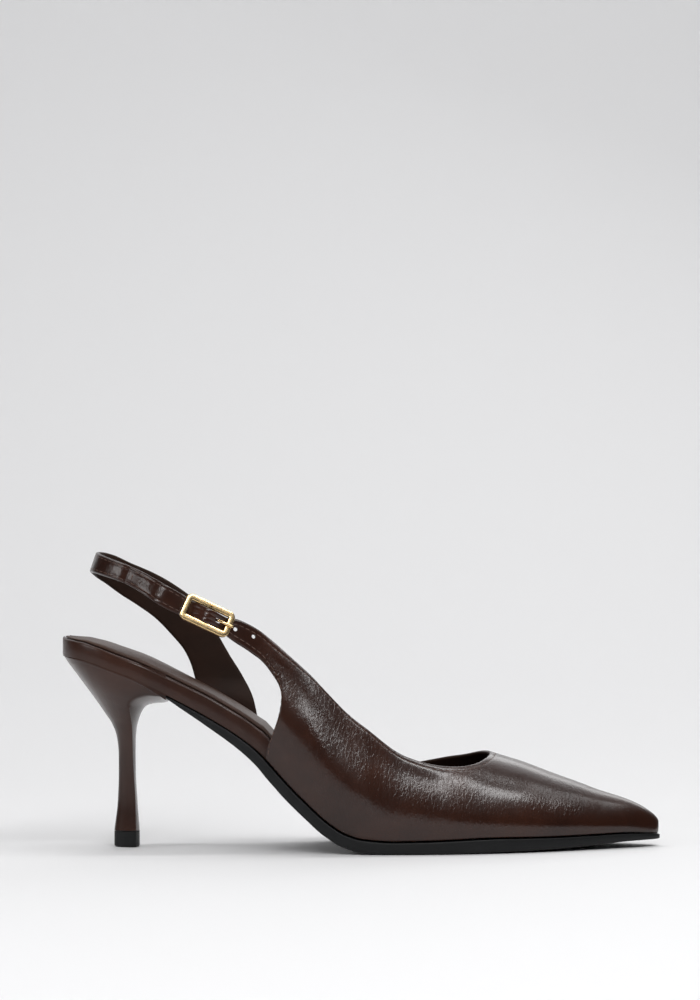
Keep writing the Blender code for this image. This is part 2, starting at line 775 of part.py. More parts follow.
def buckle_axes():
    """The buckle's own frame: its middle, and its directions along, up and out from the foot."""
    half = BUCKLE_LENGTH / 2 - FRAME_WIRE / 2
    top, low = strap_edges([BUCKLE_PLACE - half, BUCKLE_PLACE + half], STRAP_WIDTH)
    ends = (top + low) / 2
    forward = ends[1] - ends[0]
    forward = forward / np.linalg.norm(forward)
    out = np.cross(forward, (top - low).mean(axis=0))
    out = out / np.linalg.norm(out)
    out = out * -np.sign(out[1])
    up = np.cross(out, forward)
    up = up * np.sign(up[2])
    middle = ends.mean(axis=0) + out * (GAP + FRAME_WIRE / 2)
    return middle, forward, up, out


def bar_level():
    """Height of the middle bar's centre over the strap's outer face."""
    middle, forward, up, out = buckle_axes()
    top, low = strap_edges([BUCKLE_PLACE], STRAP_WIDTH)
    return (middle - (top + low)[0] / 2) @ out - BAR_DROP


def strap_lift(run):
    """How far the strap's end rises to pass over the middle bar, at a distance along from it."""
    half = BUCKLE_LENGTH / 2 - FRAME_WIRE / 2
    crest = bar_level() + BAR_WIRE / 2 + 2 * GAP + TAB_WALL + UPPER_WALL
    return crest * (1 - ramp(np.abs(run), 0, half))


def sling_edges():
    """Both edges of the strap's outer face from the middle bar round the heel to the sole."""
    x = BUCKLE_PLACE - BUCKLE_LENGTH * np.array([0, 0.2, 0.4, 0.6, 0.78])
    width = STRAP_PASS + (STRAP_WIDTH - STRAP_PASS) * ramp(BUCKLE_PLACE - x, 0.3 * BUCKLE_LENGTH, 0.5 * BUCKLE_LENGTH)
    edges = []
    for k, (name, near) in enumerate(zip(("top", "low"), strap_edges(x, width))):
        x = SHOE_LENGTH * SLING[name + "_station"]
        y = SEAT_WIDTH / 2 * SLING[name + "_reach"]
        z = feather(x) + INSTEP_HEIGHT * SLING[name + "_rise"]
        station, rise = np.array(SLING_BASE)[:, k].T
        foot_x = SHOE_LENGTH * station
        foot_y = centre_line(foot_x) + rim_outline(foot_x, MEDIAL) + GAP + BACK_STRAP_WALL
        foot_y = foot_y + BASE_LEAN * np.maximum(INSTEP_HEIGHT * rise - RIM_THICKNESS, 0)
        foot = np.stack([foot_x, foot_y, feather(foot_x) + INSTEP_HEIGHT * rise], axis=-1)
        edges.append(np.concatenate([near, np.stack([x, y, z], axis=-1), foot]))
    return edges


def sling_length(top, low):
    """Distances of the sling's rows from the middle bar, measured along its centre."""
    middle = (top + low) / 2
    return np.concatenate([[0], np.cumsum(np.linalg.norm(np.diff(middle, axis=0), axis=1))])


def strap_points(edges, run, level):
    """Rows of points at a distance along the sling and a level over its outer face."""
    top, low = edges
    length = sling_length(top, low)
    shares = np.linspace(0, 1, STRAP_ACROSS)[None, :, None]

    def row(at):
        at = np.clip(at, 0, length[-1])
        first = np.stack([curve(length, column, at) for column in top.T], axis=-1)
        last = np.stack([curve(length, column, at) for column in low.T], axis=-1)
        return first, last

    (first, last), (first_on, last_on), (first_back, last_back) = row(run), row(run + 2 * GAP), row(run - 2 * GAP)
    ahead = first_on + last_on - first_back - last_back
    out = np.cross(ahead, last - first)
    out = out / np.linalg.norm(out, axis=-1, keepdims=True)
    flat = first[:, None] * (1 - shares) + last[:, None] * shares
    foot = ramp(run, 0.78 * length[-1], 0.93 * length[-1])[:, None]
    bow = []
    for line in (lambda x: centre_line(x) + rim_outline(x, MEDIAL), feather):
        chord = line(first[:, :1]) * (1 - shares[..., 0]) + line(last[:, :1]) * shares[..., 0]
        bow.append(foot * (line(flat[..., 0]) - chord))
    flat = flat + np.stack([0 * bow[0], *bow], axis=-1)
    return flat + (out * np.asarray(level)[:, None])[:, None]


def tab_levels(run):
    """Levels of the tab's two layers over the strap's outer face."""
    stack = UPPER_WALL + GAP + TAB_WALL / 2
    slope = (strap_lift(run + GAP) - strap_lift(run - GAP)) / (2 * GAP)
    lean = np.sqrt(1 + slope**2)
    rise = (stack - TAB_WALL) * ramp(run, 0.65 * BUCKLE_LENGTH, 1.6 * BUCKLE_LENGTH)
    outer = strap_lift(run) - stack * lean + rise
    under_bar = bar_level() - BAR_WIRE / 2 - GAP - TAB_WALL / 2
    inner = np.minimum(under_bar, outer - (TAB_WALL + GAP) * lean)
    return outer, inner


def back_strap():
    """The sling: a tab folded round the middle bar, then one strap round the heel to the sole."""
    edges = sling_edges()
    length = sling_length(*edges)
    seam = np.interp(-TAB_SEAM, -(edges[0] + edges[1])[:8, 0] / 2, length[:8])
    outer_run = np.linspace(seam, 0, 18)
    inner_run = np.linspace(0, seam, 18)
    sling_run = np.linspace(seam + GAP, length[-1], 44)
    outer_layer = strap_points(edges, outer_run, tab_levels(outer_run)[0])
    inner_layer = strap_points(edges, inner_run, tab_levels(inner_run)[1])

    middle, forward, up, out = buckle_axes()
    bar = bar_level()
    spin = np.linspace(math.pi / 2, -math.pi / 2, 9)[1:-1, None, None]
    radius = BAR_WIRE / 2 + GAP + TAB_WALL / 2
    start = strap_points(edges, np.zeros(1), np.array([bar]))
    fold = start + radius * (np.cos(spin) * forward + np.sin(spin) * out)

    join = ramp(sling_run, seam + 2 * GAP, seam + STRAP_WIDTH / 2)
    foot = ramp(sling_run, 0.8 * length[-1], 0.94 * length[-1])
    level = -TAB_WALL / 2 * (1 - foot) - BACK_STRAP_WALL / 2
    level = tab_levels(seam)[1] * (1 - join) + level * join
    sling = strap_points(edges, sling_run, level)
    grid = np.concatenate([outer_layer, fold, inner_layer, sling])
    thick = np.full(len(grid), TAB_WALL)
    thick[-len(join):] += (BACK_STRAP_WALL - TAB_WALL) * join
    half = normals(grid) * thick[:, None, None] / 2
    return sheet("back_strap", grid + half, grid - half, (0.045, 0.030, 0.026), 0.36)


def frame_point(along_it, up_it, out_of_it):
    """A point given in the buckle's own frame."""
    middle, forward, up, out = buckle_axes()
    return middle + along_it * forward + up_it * up + out_of_it * out


def buckle_frame():
    """The gold frame of round wire with its lower middle bar."""
    half_length = BUCKLE_LENGTH / 2 - FRAME_WIRE / 2
    half_width = BUCKLE_WIDTH / 2 - FRAME_WIRE / 2
    path = []
    for quarter in range(4):
        way = (1, 1), (-1, 1), (-1, -1), (1, -1)
        corner_x = way[quarter][0] * (half_length - BUCKLE_CORNER)
        corner_y = way[quarter][1] * (half_width - BUCKLE_CORNER)
        for turn in np.linspace(0, math.pi / 2, 6) + quarter * math.pi / 2:
            place = corner_x + BUCKLE_CORNER * math.cos(turn), corner_y + BUCKLE_CORNER * math.sin(turn)
            path.append(frame_point(*place, 0))
    frame = tube("buckle_frame", path, FRAME_WIRE / 2, True, 12, *GOLD)
    bend = np.array([1.0, 0.91, 0.82, 0.73]) * half_width
    sink = np.array([0.0, 0.54, 0.89, 1.0]) * -BAR_DROP
    across = np.concatenate([bend, [0], -bend[::-1]])
    down = np.concatenate([sink, sink[-1:], sink[::-1]])
    path = [frame_point(0, a, d) for a, d in zip(across, down)]
    bar = tube("middle_bar", path, BAR_WIRE / 2, False, 10, *GOLD)
    shape(frame, bar, "UNION")
    return frame, bar


def buckle_prong():
    """The gold prong, up through the strap and over the frame's front bar."""
    half_length = BUCKLE_LENGTH / 2 - FRAME_WIRE / 2
    fold = BAR_WIRE / 2 + 2 * GAP + TAB_WALL
    over = FRAME_WIRE / 2 + GAP + PRONG_WIRE / 2
    along_it = fold + (half_length * 1.16 - fold) * np.array([0, 0.10, 0.22, 0.36, 0.56, 0.80, 0.94, 1.0])
    out_of_it = -BAR_DROP + (over + BAR_DROP) * np.array([0, 0.10, 0.47, 0.80, 0.97, 1.02, 1.01, 0.97])
    path = [frame_point(a, 0, o) for a, o in zip(along_it, out_of_it)]
    radius = PRONG_WIRE / 2 * np.array([1, 1, 1, 1, 1, 0.92, 0.84, 0.6])
    return tube("buckle_prong", path, radius, False, 8, *GOLD)


def punch(name, middle, forward, up, length, width):
    """A round-ended tool that cuts a hole or a slot through the strap, square to its face."""
    out = np.cross(forward, up)
    spin = np.arange(16) * math.pi / 8
    straight = np.sign(np.cos(spin)) * (length - width) / 2 * (np.abs(np.cos(spin)) > 1e-6)
    ring = (width / 2 * np.cos(spin) + straight)[:, None] * forward + (width / 2 * np.sin(spin))[:, None] * up
    depth = 3 * UPPER_WALL * out
    points = np.concatenate([middle + ring - depth, middle + ring + depth])
    return new_mesh(name, points, tube_faces(2, len(spin), False), (0.05, 0.03, 0.03), 0.5)


def strap_punches():
    """Tools for the prong's slot and the two free holes of the strap's end."""
    middle, forward, up, out = buckle_axes()
    tools = [punch("prong_slot", frame_point(PRONG_PLACE, 0, 0), forward, up, PRONG_HOLE, HOLE_WIDTH)]
    for k in (1, 2):
        x = BUCKLE_PLACE + (PRONG_PLACE + k * HOLE_STEP) * forward[0]
        top, low = strap_edges([x - GAP, x, x + GAP], STRAP_WIDTH)
        run = (top + low)[2] - (top + low)[0]
        run = run / np.linalg.norm(run)
        rise = top[1] - low[1]
        rise = rise - run * (rise @ run)
        rise = rise / np.linalg.norm(rise)
        tools.append(punch(f"strap_hole_{k}", (top + low)[1] / 2, run, rise, HOLE_WIDTH, HOLE_WIDTH))
    return tools


def shape(piece, tool, operation):
    """Joins the tool to the piece or cuts it out of it, and hides the tool."""
    change = piece.modifiers.new(tool.name, "BOOLEAN")
    change.operation = operation
    change.solver = "EXACT"
    change.object = tool
    tool.hide_render = True
    tool.display_type = "WIRE"


def upper():
    """Vamp, lateral quarter and front strap end: one leather wall with its holes."""
    outer = upper_grid()
    middle, forward, up, out = buckle_axes()
    strap = outer[..., 2] > feather(outer[..., 0]) + 0.3 * INSTEP_HEIGHT
    lift = strap_lift((outer - middle) @ forward) * strap * (outer[..., 1] < 0)
    outer = outer + upper_out(outer) * lift[..., None]
    inner = outer - upper_out(outer) * UPPER_WALL
    leather = sheet("upper", outer, inner, (0.050, 0.033, 0.028), 0.3)
    tools = strap_punches()
    for tool in tools:
        shape(leather, tool, "DIFFERENCE")
    return leather, tools


def upper_out(grid):
    """The upper's outward directions over a grid of its points."""
    out = normals(grid)
    return -out if out[UPPER_ROWS, 2, 1] > 0 else out


def clear_scene():
    for thing in list(bpy.data.objects):
        bpy.data.objects.remove(thing)


def main():
    clear_scene()
    leather, tools = upper()
    frame, bar = buckle_frame()
    pieces = [insole(), footbed(), outsole(), heel(), top_piece(), leather, back_strap()]
    pieces += [frame, buckle_prong()]
    corners = np.concatenate([[v.co[:] for v in piece.data.vertices] for piece in pieces])
    middle = (corners.min(axis=0) + corners.max(axis=0)) / 2
    root = bpy.data.objects.new("shoe", None)
    bpy.context.collection.objects.link(root)
    root.location = (-middle[0], -middle[1], 0)
    for piece in [*pieces, bar, *tools]:
        piece.parent = root


main()
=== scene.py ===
# %% [markdown]
# # A slingback pump, dressed for its picture
# The solid model of the shoe is loaded as a fixed frame. Each leather, rubber and metal piece is then made
# again with fine edges, seams and finishes, in the same place and at the same size, and the plain solid is
# hidden behind it.

import math

import bmesh
import bpy
import numpy as np
from mathutils import Matrix, Vector


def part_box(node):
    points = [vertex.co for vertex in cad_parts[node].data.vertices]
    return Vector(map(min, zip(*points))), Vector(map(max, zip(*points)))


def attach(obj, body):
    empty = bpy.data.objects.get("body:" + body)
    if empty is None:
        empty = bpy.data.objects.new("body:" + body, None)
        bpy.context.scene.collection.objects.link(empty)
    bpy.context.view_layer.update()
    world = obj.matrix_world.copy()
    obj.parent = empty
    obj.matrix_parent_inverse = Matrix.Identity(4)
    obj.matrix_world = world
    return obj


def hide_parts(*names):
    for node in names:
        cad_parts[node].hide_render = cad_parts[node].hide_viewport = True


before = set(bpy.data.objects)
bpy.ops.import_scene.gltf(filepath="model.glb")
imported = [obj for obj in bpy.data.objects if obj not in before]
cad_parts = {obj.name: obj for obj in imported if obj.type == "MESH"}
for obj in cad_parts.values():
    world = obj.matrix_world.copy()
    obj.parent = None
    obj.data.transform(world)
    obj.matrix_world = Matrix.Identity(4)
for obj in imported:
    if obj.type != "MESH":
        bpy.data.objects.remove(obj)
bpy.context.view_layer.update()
print("nodes:", sorted(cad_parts))

# %% [markdown]
# ## Helpers for meshes
# A mesh is a list of points and a list of faces. Grids of points are joined by quads, and points that fall
# on each other are welded, so that the two sides of a sheet join at its edge. The points are worked out with
# x = 0 at the back of the heel seat, and SHIFT carries them to the solid model's place.

# %% Meshes from grids
CENTRE_Y = (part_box("top_piece")[0].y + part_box("top_piece")[1].y) / 2
SHIFT = np.array([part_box("insole")[0].x, CENTRE_Y, 0.0])
WELD = 4e-6
print("shift from the shoe's own frame:", SHIFT.round(4))


def put(name, data):
    """A new object for a mesh, a light or a camera, placed in the scene."""
    thing = bpy.data.objects.new(name, data)
    bpy.context.scene.collection.objects.link(thing)
    return thing


def new_mesh(name, points, faces, face_slots=None, weld=WELD):
    """A mesh in the solid model's place, welded and with its faces turned outwards."""
    mesh = bpy.data.meshes.new(name)
    mesh.from_pydata([tuple(p) for p in np.asarray(points, float) + SHIFT], [], [tuple(f) for f in faces])
    if face_slots is not None:
        mesh.polygons.foreach_set("material_index", face_slots)
    tidy = bmesh.new()
    tidy.from_mesh(mesh)
    if weld:
        bmesh.ops.remove_doubles(tidy, verts=tidy.verts, dist=weld)
    bmesh.ops.recalc_face_normals(tidy, faces=tidy.faces)
    tidy.to_mesh(mesh)
    tidy.free()
    return mesh


def make_piece(name, points, faces, materials, slot, nodes=(), face_slots=None, angle=50):
    """One visible piece: its mesh, its materials, the body it rides on and the solid it stands for."""
    mesh = new_mesh(name, points, faces, face_slots)
    mesh.shade_smooth()
    mesh.set_sharp_from_angle(angle=math.radians(angle))
    piece = put(name, mesh)
    for material in materials:
        mesh.materials.append(material)
    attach(piece, "root")
    if nodes:
        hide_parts(*nodes)
    print(name, len(mesh.vertices), "points", len(mesh.polygons), "faces")
    return piece


def grid_faces(rows, columns, first=0, loop=False):
    """Quads over a grid of points laid out row by row; a looped grid closes each row on itself."""
    faces = []
    for i in range(rows - 1):
        for j in range(columns if loop else columns - 1):
            k = (j + 1) % columns
            a, b = first + i * columns, first + (i + 1) * columns
            faces.append((a + j, a + k, b + k, b + j))
    return faces


def unit(ways):
    """The same directions, each of length 1."""
    return ways / np.maximum(np.linalg.norm(ways, axis=-1, keepdims=True), 1e-12)


def two_faces(first, second):
    """The points of a sheet's two faces, and the quads of each."""
    rows, columns = first.shape[:2]
    points = np.concatenate([first.reshape(-1, 3), second.reshape(-1, 3)])
    return points, grid_faces(rows, columns), grid_faces(rows, columns, rows * columns)


def distances(path):
    """Distance of each point of a path from its start, measured along it."""
    return np.concatenate([[0], np.cumsum(np.linalg.norm(np.diff(path, axis=0), axis=1))])


# %% [markdown]
# ## The shoe's own sizes
# Everything follows the last, the form that a shoe is built on. These are the same sizes, in metres, that
# the solid model uses, with x counted from the back of the heel seat and z from the floor. The heel seat
# stands 79 mm up and the ball of the foot nearly on the floor, so most heights are counted from the feather
# line, the curved line where upper and sole meet.

# %% Sizes
# Driving sizes of the last
SHOE_LENGTH = 0.245
SEAT_HEIGHT = 0.0790
BALL_WIDTH = 0.0765
SEAT_WIDTH = 0.052
INSTEP_HEIGHT = 0.090
TOE_SWING = 0.0035
TOE_SPRING = 0.0030

# Walls and thicknesses
UPPER_WALL = 0.0016
RIM_THICKNESS = 0.0070
TIP_ROOM = 0.0040
FOOTBED_THICKNESS = 0.0014
FOOTBED_INSET = 0.0022
SOLE_THICKNESS = 0.0046
EDGE_ROLL = 0.0003
TREAD_FLAT = 0.0001
GAP = 0.0003
SOLE_GAP = 0.00044

# Heel
HEEL_REACH = 0.0435
SOLE_START = 0.0410
COLUMN_PLACE = 0.0263
TOP_PIECE_LENGTH = 0.0104
TOP_PIECE_WIDTH = 0.0104
TOP_PIECE_HEIGHT = 0.0065

# Strap and buckle
STRAP_WIDTH = 0.0082
STRAP_PASS = 0.0066
TAB_WALL = 0.0008
TAB_SEAM = 0.0277
BACK_STRAP_WALL = 0.0019
BUCKLE_PLACE = 0.0602
BUCKLE_LENGTH = 0.0215
BUCKLE_WIDTH = 0.0116
FRAME_WIRE = 0.0020
BAR_WIRE = 0.0016
BAR_DROP = 0.0014
PRONG_WIRE = 0.0010
PRONG_HOLE = 0.0040
PRONG_PLACE = 0.0047
HOLE_WIDTH = 0.0017
HOLE_STEP = 0.0081

LATERAL = -1.0
MEDIAL = 1.0
COVER = UPPER_WALL + GAP
MM = 0.001
print("length, seat's height and wall, mm:", SHOE_LENGTH / MM, SEAT_HEIGHT / MM, UPPER_WALL / MM)

# %% [markdown]
# ### Tables of sections
# A last is drawn as sections at stations along its length, and a pattern maker draws smooth curves through
# them. A table holds one row per station, and curve reads it anywhere between, without swinging past a value.
# Stations are shares of the shoe's length, spaced so that both ends come out round.

# %% Reading tables


def table(columns, *rows):
    """A table of sections, read by the names of its columns."""
    return dict(zip(columns.split(), np.array(rows, float).T))


def rounded(share):
    """Length shares spaced so that a width that grows evenly from an end leaves it round."""
    return np.arccos(1 - 2 * np.clip(share, 0, 1)) / math.pi


def curve(knots, values, at):
    """A smooth curve through the values, one per knot, that never swings past them."""
    step = np.diff(knots)
    rise = np.diff(values) / step
    before, after = rise[:-1], rise[1:]
    weight = (step[:-1] + 2 * step[1:]) / (3 * (step[:-1] + step[1:]))
    mixed = weight * after + (1 - weight) * before
    level = before * after <= 0
    inner = np.where(level, 0, before * after / np.where(level, 1, mixed))
    slope = np.concatenate([rise[:1], inner, rise[-1:]])
    i = np.clip(np.searchsorted(knots, at) - 1, 0, len(step) - 1)
    t = (at - knots[i]) / step[i]
    return (
        values[i] * (1 + 2 * t) * (1 - t) ** 2
        + values[i + 1] * t * t * (3 - 2 * t)
        + step[i] * t * (1 - t) * (slope[i] * (1 - t) - slope[i + 1] * t)
    )


def read(sections, column, x):
    """One column of a table of sections at the distance x from the back of the seat."""
    at = rounded(np.asarray(x, float) / SHOE_LENGTH)
    return curve(rounded(sections["station"]), sections[column], at)


def ramp(x, start, end):
    """0 before start, 1 after end and a soft step between them."""
    t = np.clip((np.asarray(x, float) - start) / (end - start), 0, 1)
    return t * t * (3 - 2 * t)


print("a curve through 0, 1 and 1, halfway up:", curve(np.arange(3.0), np.array([0.0, 1.0, 1.0]), 0.5))

# %% [markdown]
# ### Plan, profile and last
# Seen from above, the sole swings a little to the big toe's side and is fuller on the outer side. Seen from
# the side, its bottom falls from the seat through the arch to the ball and springs up at the toe. The last
# above it is round at the seat and low and pointed at the toe.

# %% Plan, profile and last
# Plan of the sole: half widths from the centre line, as shares of half the local width, which
# passes from SEAT_WIDTH to BALL_WIDTH. "swing" bends the centre line towards the big toe.
PLAN = table(
    "station lateral medial swing",
    (0.000, 0.000, 0.000, 0.00),
    (0.008, 0.360, 0.360, 0.00),
    (0.025, 0.610, 0.610, 0.00),
    (0.050, 0.785, 0.785, 0.00),
    (0.090, 0.940, 0.935, 0.00),
    (0.143, 1.000, 0.980, 0.00),
    (0.204, 0.965, 0.890, 0.00),
    (0.265, 0.900, 0.770, 0.00),
    (0.330, 0.850, 0.680, 0.03),
    (0.390, 0.900, 0.670, 0.08),
    (0.450, 0.985, 0.730, 0.15),
    (0.510, 1.025, 0.815, 0.23),
    (0.571, 1.035, 0.895, 0.32),
    (0.633, 1.015, 0.940, 0.44),
    (0.694, 0.960, 0.910, 0.57),
    (0.755, 0.865, 0.820, 0.70),
    (0.816, 0.720, 0.680, 0.82),
    (0.878, 0.535, 0.500, 0.91),
    (0.939, 0.330, 0.300, 0.97),
    (0.980, 0.170, 0.160, 1.00),
    (0.995, 0.083, 0.080, 1.00),
    (1.000, 0.000, 0.000, 1.00),
)

# Side view of the bottom. "arch" runs from 1 at the seat's back to 0 at the ball, "sole" is the
# outsole's thickness as a share of SOLE_THICKNESS, "spring" the share of TOE_SPRING and "rim" the
# insole's thickness as a share of RIM_THICKNESS.
PROFILE = table(
    "station arch sole spring rim",
    (0.000, 1.000, 0.10, 0.00, 1.02),
    (0.033, 0.978, 0.10, 0.00, 1.00),
    (0.057, 0.955, 0.10, 0.00, 0.98),
    (0.088, 0.918, 0.10, 0.00, 0.96),
    (0.121, 0.877, 0.10, 0.00, 0.96),
    (0.159, 0.817, 0.10, 0.00, 0.98),
    (0.209, 0.732, 0.44, 0.00, 1.00),
    (0.253, 0.651, 0.70, 0.00, 1.04),
    (0.299, 0.555, 0.86, 0.00, 1.02),
    (0.330, 0.472, 0.93, 0.00, 0.98),
    (0.352, 0.394, 0.95, 0.00, 0.95),
    (0.382, 0.286, 0.96, 0.00, 0.88),
    (0.413, 0.187, 0.97, 0.00, 0.80),
    (0.444, 0.098, 0.98, 0.00, 0.70),
    (0.472, 0.040, 1.00, 0.00, 0.60),
    (0.500, 0.012, 1.03, 0.00, 0.52),
    (0.551, 0.000, 1.02, 0.00, 0.50),
    (0.603, 0.000, 1.04, 0.02, 0.50),
    (0.708, 0.000, 1.10, 0.22, 0.50),
    (0.796, 0.000, 0.98, 0.33, 0.48),
    (0.880, 0.000, 0.80, 0.64, 0.45),
    (0.949, 0.000, 0.59, 0.98, 0.40),
    (0.980, 0.000, 0.46, 1.02, 0.36),
    (1.000, 0.000, 0.30, 1.05, 0.34),
)

# The last above its feather line. "instep" is the ridge's height over the feather line as a share
# of INSTEP_HEIGHT, "swell" how far the side stands out past the feather line as a share of the
# local half width, and "full" the roundness of the section: 2 is an ellipse, more is squarer.
LAST = table(
    "station instep swell full",
    (0.000, 1.090, 0.300, 2.60),
    (0.160, 1.062, 0.290, 2.60),
    (0.245, 1.034, 0.275, 2.60),
    (0.327, 1.000, 0.240, 2.55),
    (0.408, 0.930, 0.150, 2.45),
    (0.490, 0.778, 0.085, 2.35),
    (0.571, 0.578, 0.060, 2.20),
    (0.653, 0.440, 0.055, 2.10),
    (0.714, 0.363, 0.055, 2.00),
    (0.773, 0.314, 0.060, 1.95),
    (0.818, 0.268, 0.070, 1.90),
    (0.863, 0.223, 0.080, 1.90),
    (0.898, 0.186, 0.085, 1.90),
    (0.924, 0.163, 0.080, 1.95),
    (0.949, 0.140, 0.070, 2.00),
    (0.967, 0.120, 0.050, 2.00),
    (0.984, 0.094, 0.030, 2.00),
    (0.9925, 0.076, 0.010, 2.00),
    (0.9988, 0.050, 0.000, 2.00),
    (1.000, 0.000, 0.000, 2.00),
)
SWELL_TOP = 0.30
print("sections in plan, profile and last:", [len(part["station"]) for part in (PLAN, PROFILE, LAST)])

# %% [markdown]
# ### Lines of the pattern
# The upper's edges are cut lines on the last: the topline with its low throat, and the leaf-shaped cut-out
# that opens the waist on the outer side. The strap runs on from the quarter to the buckle, and the sling from
# the buckle round the heel to the insole's inner edge.

# %% Lines of the pattern
# Edges of the upper, from the strap's end forwards. "girth" is 0 on the feather line and 1 on the
# ridge. CUT_OUT is the strap's lower edge and the rear edge of the quarter, down to its corner.
CUT_OUT = table(
    "station girth",
    (0.199, 0.250),
    (0.239, 0.262),
    (0.268, 0.2705),
    (0.286, 0.268),
    (0.317, 0.276),
    (0.346, 0.284),
    (0.361, 0.276),
    (0.367, 0.258),
    (0.368, 0.236),
    (0.366, 0.204),
    (0.362, 0.166),
    (0.356, 0.122),
    (0.350, 0.082),
    (0.344, 0.040),
    (0.341, 0.000),
)
TOPLINE_REAR = table(
    "station girth",
    (0.211, 0.309),
    (0.252, 0.316),
    (0.278, 0.327),
    (0.294, 0.346),
    (0.316, 0.364),
    (0.345, 0.388),
    (0.378, 0.418),
    (0.421, 0.450),
    (0.462, 0.468),
)
TOPLINE_THROAT = table(
    "station girth",
    (0.462, 0.468),
    (0.493, 0.470),
    (0.526, 0.466),
    (0.578, 0.458),
    (0.630, 0.492),
    (0.673, 0.572),
    (0.698, 0.690),
    (0.712, 0.850),
    (0.716, 1.000),
)
TOPLINE_MEDIAL = table(
    "station girth",
    (0.716, 1.000),
    (0.706, 0.860),
    (0.682, 0.660),
    (0.637, 0.492),
    (0.592, 0.374),
    (0.551, 0.278),
    (0.510, 0.178),
    (0.469, 0.090),
    (0.437, 0.040),
)
MEDIAL_CORNER = 0.433

# The strap's centre line on the lateral side: its height over the feather line as a share of
# INSTEP_HEIGHT.
STRAP_LINE = table(
    "station rise",
    (0.100, 0.457),
    (0.158, 0.453),
    (0.203, 0.449),
    (0.245, 0.453),
    (0.286, 0.471),
    (0.321, 0.503),
)

# The sling round the heel and down the medial side. Both edges: place along the shoe, height over
# the feather line as a share of INSTEP_HEIGHT, and distance from the centre line as a share of
# half the SEAT_WIDTH.
SLING = table(
    "top_station top_rise top_reach low_station low_rise low_reach",
    (0.118, 0.501, -0.880, 0.108, 0.414, -0.900),
    (0.080, 0.500, -0.600, 0.069, 0.410, -0.620),
    (0.060, 0.500, -0.300, 0.048, 0.405, -0.320),
    (0.0545, 0.502, 0.000, 0.0425, 0.396, 0.000),
    (0.060, 0.505, 0.270, 0.047, 0.383, 0.300),
    (0.077, 0.507, 0.540, 0.064, 0.362, 0.560),
    (0.106, 0.498, 0.770, 0.088, 0.336, 0.790),
    (0.143, 0.497, 0.920, 0.116, 0.314, 0.930),
    (0.182, 0.489, 1.010, 0.149, 0.289, 1.010),
    (0.219, 0.462, 1.050, 0.176, 0.250, 1.045),
    (0.250, 0.383, 1.060, 0.198, 0.208, 1.050),
    (0.275, 0.306, 1.040, 0.209, 0.163, 1.040),
    (0.300, 0.238, 1.000, 0.217, 0.102, 1.000),
)
BASE_LEAN = 0.25
SLING_BASE = ((0.320, 0.150), (0.223, 0.055)), ((0.331, 0.0), (0.229, 0.0))
print("the topline's lowest point at girth", TOPLINE_THROAT["girth"].min(), "of 1")

# %% [markdown]
# ### Sections of the heel
# The heel flares from a slim straight tip to the full seat. The photo shows a crease where the side turns
# into the breast, the heel's front, so each section states that crease apart.

# %% Sections of the heel
# Sections of the heel from the seat down. x from the seat's back as shares of HEEL_REACH, heights
# as shares of SEAT_HEIGHT, "width" as a share of SEAT_WIDTH. "crease" is the edge between the side
# and the breast, "front" the middle of the breast, "square" how far the side follows the seat.
HEEL = table(
    "back_x back_z crease_x crease_z front_x front_z width square",
    (0.018, 0.984, 1.000, 0.776, 1.000, 0.760, 0.985, 1.00),
    (0.046, 0.960, 0.925, 0.800, 0.955, 0.748, 0.965, 0.95),
    (0.100, 0.920, 0.828, 0.804, 0.890, 0.745, 0.925, 0.85),
    (0.163, 0.874, 0.731, 0.791, 0.837, 0.740, 0.850, 0.70),
    (0.225, 0.828, 0.669, 0.771, 0.795, 0.732, 0.755, 0.50),
    (0.290, 0.779, 0.644, 0.742, 0.763, 0.716, 0.645, 0.35),
    (0.345, 0.736, 0.648, 0.710, 0.738, 0.692, 0.545, 0.20),
    (0.402, 0.690, 0.657, 0.670, 0.717, 0.662, 0.435, 0.10),
    (0.464, 0.637, 0.664, 0.622, 0.697, 0.618, 0.325, 0.00),
    (0.508, 0.569, 0.664, 0.562, 0.688, 0.562, 0.238, 0.00),
    (0.525, 0.483, 0.664, 0.483, 0.686, 0.483, 0.180, 0.00),
    (0.526, 0.383, 0.674, 0.383, 0.688, 0.383, 0.165, 0.00),
    (0.518, 0.244, 0.690, 0.244, 0.702, 0.244, 0.172, 0.00),
)
HEEL_RUN = np.array([0.015, 0.06, 0.134, 0.234, 0.357, 0.50, 0.65, 0.78, 0.88, 0.94, 1.0])
print("heel sections:", len(HEEL["back_x"]))

# %% [markdown]
# ### The last's surface
# The leather takes the last's shape, so a point of the upper is named by its station along the shoe and its
# girth, 0 on the feather line and 1 on the ridge. Each section is an ellipse made a little squarer, which
# swells out past the feather line as a foot does.

# %% Last


def local_width(x):
    """The shoe's reference width at x: the seat's behind the waist, the ball's in front of it."""
    return SEAT_WIDTH + (BALL_WIDTH - SEAT_WIDTH) * ramp(x, 0.22 * SHOE_LENGTH, 0.52 * SHOE_LENGTH)


def centre_line(x):
    """Distance of the sole's middle from the straight axis, towards the big toe."""
    return TOE_SWING * read(PLAN, "swing", x)


def sole_reach(x, side):
    """Half width of the sole's outline, from the centre line."""
    name = "lateral" if side < 0 else "medial"
    return read(PLAN, name, x) * local_width(x) / 2


def cover(x, side):
    """How far the rim stands in from the sole's edge, to leave room for leather on its side."""
    if side < 0:
        return COVER * ramp(x, 0.29 * SHOE_LENGTH, 0.35 * SHOE_LENGTH)
    return COVER * ramp(x, 0.16 * SHOE_LENGTH, 0.205 * SHOE_LENGTH)


def sole_depth(x):
    """The outsole's thickness at its edge, square to the profile."""
    return SOLE_THICKNESS * read(PROFILE, "sole", x)


